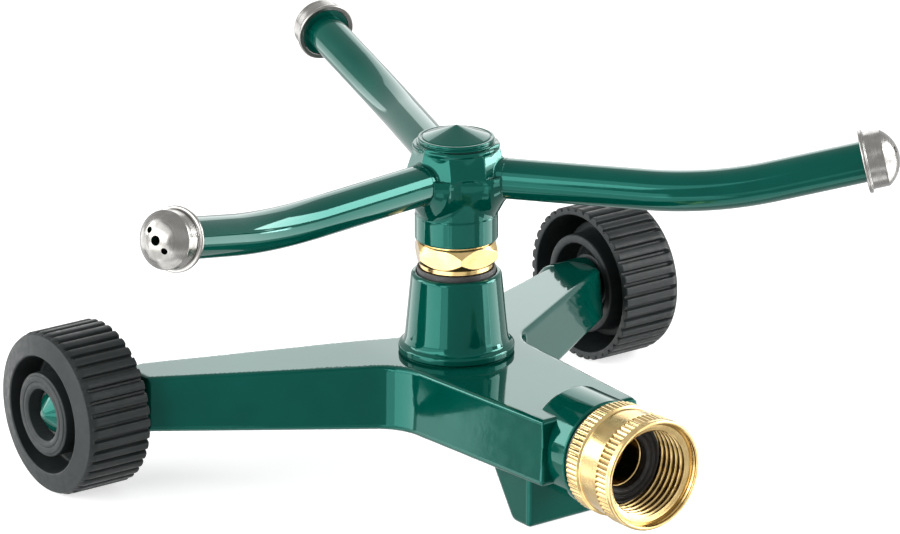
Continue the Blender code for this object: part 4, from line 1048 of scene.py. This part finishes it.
HEAD_OUTLINE = head_outline()
BOSS_OUTLINE = softened([
    (HEAD_RADIUS / 2, PAST_AXIS),
    (HEAD_RADIUS / 2, BOSS_RADIUS),
    (BOSS_SHOULDER, BOSS_RADIUS, 1.2),
    (BOSS_SHOULDER + 1.1, BOSS_RADIUS - 1.0, 0.6),
    (BOSS_TIP, ARM_TUBE_RADIUS + 0.3, 0.4),
    (BOSS_TIP, PAST_AXIS),
])


def head_field(x, y, z):
    """The head casting with its three bosses, each with two cast flats above the arm."""
    radius = np.hypot(x, y)
    drum = outline_distance(HEAD_OUTLINE, radius, z)
    arm_frames = []
    body = drum
    for index in range(ARM_COUNT):
        azimuth = arm_azimuth(index)
        out = x * cos(azimuth) + y * sin(azimuth)
        across = y * cos(azimuth) - x * sin(azimuth)
        from_arm_axis = np.hypot(across, z - ARM_Z)
        arm_frames.append((out, across, from_arm_axis))
        body = joined(body, outline_distance(BOSS_OUTLINE, out, from_arm_axis), BOSS_BLEND)
    for out, across, from_arm_axis in arm_frames:
        level = out * cos(HEAD_FLAT_TURN) + np.abs(across) * sin(HEAD_FLAT_TURN)
        height = z - HEAD_FLAT_MIDDLE
        beyond = level * cos(HEAD_FLAT_TILT) + height * sin(HEAD_FLAT_TILT) - HEAD_FLAT_DISTANCE
        body = common(body, -np.maximum(-beyond, HEAD_FLAT_BOTTOM - z), 0.3)
        core = np.maximum(from_arm_axis - ARM_TUBE_RADIUS - 0.1, np.maximum(out - BOSS_TIP, -out))
        body = joined(body, core, 0.5)
    body = joined(body, drum, 0.3)
    skirt_hole = np.maximum(radius - POST_NECK_RADIUS - CLEARANCE, z - HEAD_BOTTOM - HEAD_SKIRT_DEPTH)
    return np.maximum(body, -np.minimum(skirt_hole, radius - HEAD_HOLE_RADIUS))


def make_head(enamel, rubber):
    casting = surface_of(head_field, (-18.0, -18.0, 74.0), (18.0, 18.0, 107.0), 0.36)
    add_piece("head_body", casting, enamel, "head", stands_for=("head_casting",))
    cap = softened([
        (0.0, CAP_TIP_Z),
        (0.35, CAP_TIP_Z - 0.15, 0.3),
        (3.5, CAP_TIP_Z - 1.25),
        (7.0, CAP_TIP_Z - 2.45),
        (CAP_DISC_RADIUS - 1.5, CAP_RIM_Z + 0.1, 0.2),
        (CAP_DISC_RADIUS - 1.1, CAP_RIM_Z - 0.3, 0.2),
        (CAP_DISC_RADIUS - 0.8, CAP_RIM_Z, 0.2),
        (CAP_DISC_RADIUS, CAP_RIM_Z, 0.4),
        (CAP_DISC_RADIUS, CAP_RIM_Z - 0.8, 0.2),
        (CAP_DISC_RADIUS - 0.6, CAP_BEAD_Z + 0.4, 0.2),
        (CAP_DISC_RADIUS + 0.3, CAP_BEAD_Z + 0.2, 0.2),
        (CAP_DISC_RADIUS + 0.5, CAP_BEAD_Z, 0.2),
        (CAP_DISC_RADIUS + 0.4, CAP_SEAT_Z, 0.2),
        (CAP_PLUG_RADIUS, CAP_SEAT_Z),
        (CAP_PLUG_RADIUS, CAP_PLUG_Z),
        (0.0, CAP_PLUG_Z),
    ], closed=False, step_angle=radians(10))
    add_piece("head_cover", turned(cap, 128), enamel, "head", stands_for=("head_cap",))
    bottom, top = HEAD_TOP - 0.1, CAP_SEAT_Z + 0.1
    seal = ring_section(CAP_PLUG_RADIUS + 0.1, CAP_DISC_RADIUS + 0.1, bottom, top, 0.1, 0.1)
    add_piece("cap_seal", turned(seal, 96), rubber, "head", stands_for=("cap_gasket",))


def outer_direction():
    """Direction of an arm beyond its bend, for an arm that leaves the head along +X."""
    flat = cos(ARM_RISE)
    return Vector((flat * cos(ARM_SIDE_BEND), flat * sin(ARM_SIDE_BEND), sin(ARM_RISE)))


def arm_route(start, end_beyond_corner, bend_steps=28):
    """Centre line of an arm along +X: straight, one arc, straight."""
    first = Vector((1.0, 0.0, 0.0))
    last = outer_direction()
    corner = Vector((ARM_CORNER, 0.0, ARM_Z))
    bend = acos(first.dot(last))
    reach = ARM_BEND_RADIUS * tan(bend / 2)
    inward = (last - first * first.dot(last)).normalized()
    centre = corner - first * reach + inward * ARM_BEND_RADIUS
    straight_end = corner.x - reach
    route = [Vector((start + (straight_end - start) * step / 6, 0.0, ARM_Z)) for step in range(6)]
    for step in range(bend_steps + 1):
        angle = bend * step / bend_steps
        route.append(centre + (first * sin(angle) - inward * cos(angle)) * ARM_BEND_RADIUS)
    for step in range(1, 5):
        route.append(corner + last * (reach + (end_beyond_corner - reach) * step / 4))
    return route


def nozzle_place():
    """Frame at the back of a nozzle cap: local +Z along the arm's end, local +X level."""
    outward = outer_direction()
    level = Vector((0.0, 0.0, 1.0)).cross(outward).normalized()
    upward = outward.cross(level)
    seat = Vector((ARM_CORNER, 0.0, ARM_Z)) + outward * ARM_OUTER_LENGTH
    turn = Matrix((level, upward, outward)).transposed().to_4x4()
    return Matrix.Translation(seat) @ turn


def nozzle_cap_shape():
    """The pressed cap: a dome on a short cylinder with a rolled flange at its back."""
    height = NOZZLE_CAP_LENGTH - NOZZLE_BODY_LENGTH
    ball = (NOZZLE_BODY_RADIUS ** 2 + height ** 2) / (2 * height)
    half_angle = asin(NOZZLE_BODY_RADIUS / ball)
    profile = [(0.0, NOZZLE_CAP_LENGTH)]
    for step in range(1, 19):
        angle = half_angle * step / 20
        profile.append((ball * sin(angle), NOZZLE_CAP_LENGTH - ball * (1 - cos(angle))))
    profile += softened([
        profile[-1],
        (NOZZLE_BODY_RADIUS, NOZZLE_BODY_LENGTH + 0.2, 1.0),
        (NOZZLE_BODY_RADIUS, 1.35, 0.5),
        (NOZZLE_FLANGE_RADIUS, 1.2, 0.45),
        (NOZZLE_FLANGE_RADIUS, 0.0, 0.45),
        (NOZZLE_BORE, 0.0, 0.2),
        (NOZZLE_BORE, NOZZLE_BODY_LENGTH - 0.8),
        (5.0, NOZZLE_BODY_LENGTH + 1.6),
        (0.0, NOZZLE_BODY_LENGTH + 2.4),
    ], closed=False, step_angle=radians(12))[1:]
    return turned(profile, 96)


def drill_jets(mesh):
    """Three jet holes in a row across the dome of a nozzle cap's mesh."""
    cap = add_object("undrilled", mesh)
    row = Matrix.Rotation(JET_ROW_TURN, 4, "Z")
    tools = []
    front, back = NOZZLE_CAP_LENGTH + 2.0, NOZZLE_BODY_LENGTH - 0.2
    for offset, radius in ((-JET_SPACING, JET_RADIUS), (0.0, MIDDLE_JET_RADIUS), (JET_SPACING, JET_RADIUS)):
        points, faces = turned([(0.0, front), (radius, front), (radius, back), (0.0, back)], 32)
        drill_mesh = bpy.data.meshes.new("drill")
        drill_mesh.from_pydata((np.array(points) * MM).tolist(), [], faces)
        drill_mesh.transform(row @ Matrix.Translation((offset * MM, 0.0, 0.0)))
        tool = add_object("drill", drill_mesh)
        tools.append(tool)
        hole = cap.modifiers.new("jet", "BOOLEAN")
        hole.operation = "DIFFERENCE"
        hole.solver = "EXACT"
        hole.object = tool
    depsgraph = bpy.context.evaluated_depsgraph_get()
    drilled = bpy.data.meshes.new_from_object(cap.evaluated_get(depsgraph))
    for finished in tools + [cap]:
        bpy.data.objects.remove(finished)
    return drilled


def make_arms(enamel, steel):
    seat = nozzle_place()
    sleeve = ring_section(ARM_TUBE_RADIUS + 0.05, SLEEVE_RADIUS, 0.25, SLEEVE_LENGTH, lower_fillet=0.3)
    cap = nozzle_cap_shape()
    bar = swept(arm_route(BOSS_TIP - 0.3, ARM_OUTER_LENGTH + 5.0), ARM_TUBE_RADIUS, 64)
    for index in range(ARM_COUNT):
        number = index + 1
        arm = Matrix.Rotation(arm_azimuth(index), 4, "Z")
        nozzle = arm @ seat
        add_piece(f"arm_{number}", bar, enamel, "head", arm, (f"arm_tube_{number}",))
        add_piece(f"nozzle_{number}", cap, steel, "head", nozzle,
                  (f"nozzle_cap_{number}",), drill=drill_jets)
        add_piece(f"sleeve_{number}", turned(sleeve, 72), enamel, "head",
                  nozzle, (f"nozzle_sleeve_{number}",))


# Light, floor and camera


def add_lamp(name, place, aim, size, radiance):
    """A soft box: a rectangular lamp of (width, height) metres, aimed at a point, as bright as it looks."""
    data = bpy.data.lights.new(name, "AREA")
    data.shape = "RECTANGLE"
    data.size, data.size_y = size
    data.energy = radiance * pi * size[0] * size[1]
    lamp = add_object(name, data)
    lamp.location = place
    lamp.rotation_euler = (Vector(aim) - Vector(place)).to_track_quat("-Z", "Y").to_euler()
    lamp.visible_camera = False


def add_soft_boxes():
    """Soft boxes all round: name, azimuth from +Y towards +X, elevation, width, height, radiance.

    Those below the horizon show in the gloss alone, as round an object on a light table, because
    the floor hides them from matt surfaces and doesn't show in reflections itself.
    """
    middle = Vector((0.0, 0.0, 0.06))
    boxes = (
        ("window", 117.0, 22.0, 32.0, 26.0, 16.0),
        ("right_box", 142.0, 14.0, 16.0, 48.0, 2.6),
        ("left_box", -84.0, 21.5, 66.0, 23.0, 7.6),
        ("left_middle_box", -84.0, 5.0, 66.0, 10.0, 3.4),
        ("left_high_box", -80.0, 43.0, 74.0, 20.0, 2.6),
        ("back_left_box", -38.0, 20.0, 14.0, 30.0, 9.0),
        ("back_box", 37.0, 22.0, 34.0, 32.0, 2.0),
        ("left_low_box", -82.0, -11.0, 50.0, 18.0, 5.6),
        ("right_low_box", 118.0, -21.0, 34.0, 40.0, 4.5),
        ("right_low_strip", 142.0, -10.0, 16.0, 18.0, 3.4),
        ("right_low_window", 114.5, 0.5, 10.0, 9.0, 20.0),
        ("back_low_box", -25.0, -11.0, 46.0, 24.0, 2.2),
        ("front_low_box", -116.0, -12.0, 16.0, 22.0, 3.0),
        ("front_table_box", -158.0, -22.0, 70.0, 12.0, 1.0),
        ("left_table_box", -88.0, -36.0, 84.0, 28.0, 2.0),
        ("table_box", -110.0, -70.0, 60.0, 36.0, 1.8),
    )
    for name, azimuth, elevation, width, height, radiance in boxes:
        flat = cos(radians(elevation))
        aside = Vector((
            sin(radians(azimuth)) * flat, cos(radians(azimuth)) * flat, sin(radians(elevation))
        ))
        size = [2 * BOX_DISTANCE * tan(radians(angle / 2)) for angle in (width, height)]
        add_lamp(name, middle + aside * BOX_DISTANCE, middle, size, radiance)


def make_floor():
    """A pale floor that stays white where nothing shades it."""
    mesh = bpy.data.meshes.new("floor")
    signs = ((-1, -1), (1, -1), (1, 1), (-1, 1))
    mesh.from_pydata([(x * FLOOR_REACH, y * FLOOR_REACH, 0.0) for x, y in signs], [], [(0, 1, 2, 3)])
    floor = add_object("floor", mesh)
    floor.visible_glossy = False
    mesh.materials.append(new_material(
        "floor_paint", (0.5, 0.5, 0.5), 0.9, Specular_IOR_Level=0.0,
        Emission_Color=(1.0, 1.0, 1.0, 1.0), Emission_Strength=FLOOR_GLOW
    ))


def make_world():
    """White all round: at full strength to the camera and in gloss, and dim as a light."""
    world = bpy.data.worlds.new("studio")
    bpy.context.scene.world = world
    world.use_nodes = True
    background = world.node_tree.nodes["Background"]
    background.inputs["Color"].default_value = (1.0, 1.0, 1.0, 1.0)
    rays = add_node(world, "ShaderNodeLightPath").outputs
    seen = rays["Is Camera Ray"]
    for ray in ("Is Glossy Ray", "Is Transmission Ray"):
        seen = add_node(world, "ShaderNodeMath", {0: seen, 1: rays[ray]}, operation="MAXIMUM").outputs[0]
    strength = ramp(world, seen, WORLD_LIGHT, 1.0, 0.0, 1.0)
    world.node_tree.links.new(strength, background.inputs["Strength"])


def make_camera():
    """The camera at the photograph's viewing angle."""
    data = bpy.data.cameras.new("camera")
    data.lens = CAMERA_LENS
    data.sensor_width = 36.0
    data.shift_x, data.shift_y = CAMERA_SHIFT
    data.clip_start = 0.05
    data.clip_end = 50.0
    camera = add_object("camera", data)
    flat = cos(CAMERA_ELEVATION)
    back = Vector((sin(CAMERA_AZIMUTH) * flat, -cos(CAMERA_AZIMUTH) * flat, sin(CAMERA_ELEVATION)))
    level = Vector((cos(CAMERA_AZIMUTH), sin(CAMERA_AZIMUTH), 0.0))
    upright = back.cross(level)
    right = level * cos(CAMERA_ROLL) + upright * sin(CAMERA_ROLL)
    up = back.cross(right)
    turn = Matrix((right, up, back)).transposed().to_4x4()
    target = Vector(CAMERA_TARGET) + MODEL_FRAME.translation
    camera.matrix_world = Matrix.Translation(target + back * CAMERA_DISTANCE) @ turn
    bpy.context.scene.camera = camera


def paint_inner_nodes(rubber, brass, nylon):
    """Materials for the small CAD nodes inside the head and the nozzles, which no piece replaces."""
    kept = {
        "post_o_ring": rubber,
        "post_lock_nut": brass,
        "lower_thrust_washer": nylon,
        "upper_thrust_washer": nylon,
    }
    for number in range(1, ARM_COUNT + 1):
        kept[f"nozzle_seal_{number}"] = rubber
    for name, material in kept.items():
        node = frame["nodes"][name]
        for slot in node.material_slots:
            slot.material = material


def main():
    enamel, brass, steel, zinc = make_enamel(), make_brass(), make_steel(), make_zinc()
    plastic, rubber, nylon = make_plastic(), make_rubber(), make_nylon()
    make_base(enamel)
    make_wheels(plastic, zinc)
    make_coupling(brass)
    make_tailpiece(brass)
    make_inlet_seals(rubber)
    make_post(brass)
    make_post_seal(rubber)
    make_head(enamel, rubber)
    make_arms(enamel, steel)
    paint_inner_nodes(rubber, brass, nylon)
    make_floor()
    make_world()
    add_soft_boxes()
    make_camera()
    bpy.context.scene.view_settings.view_transform = "Standard"


main()
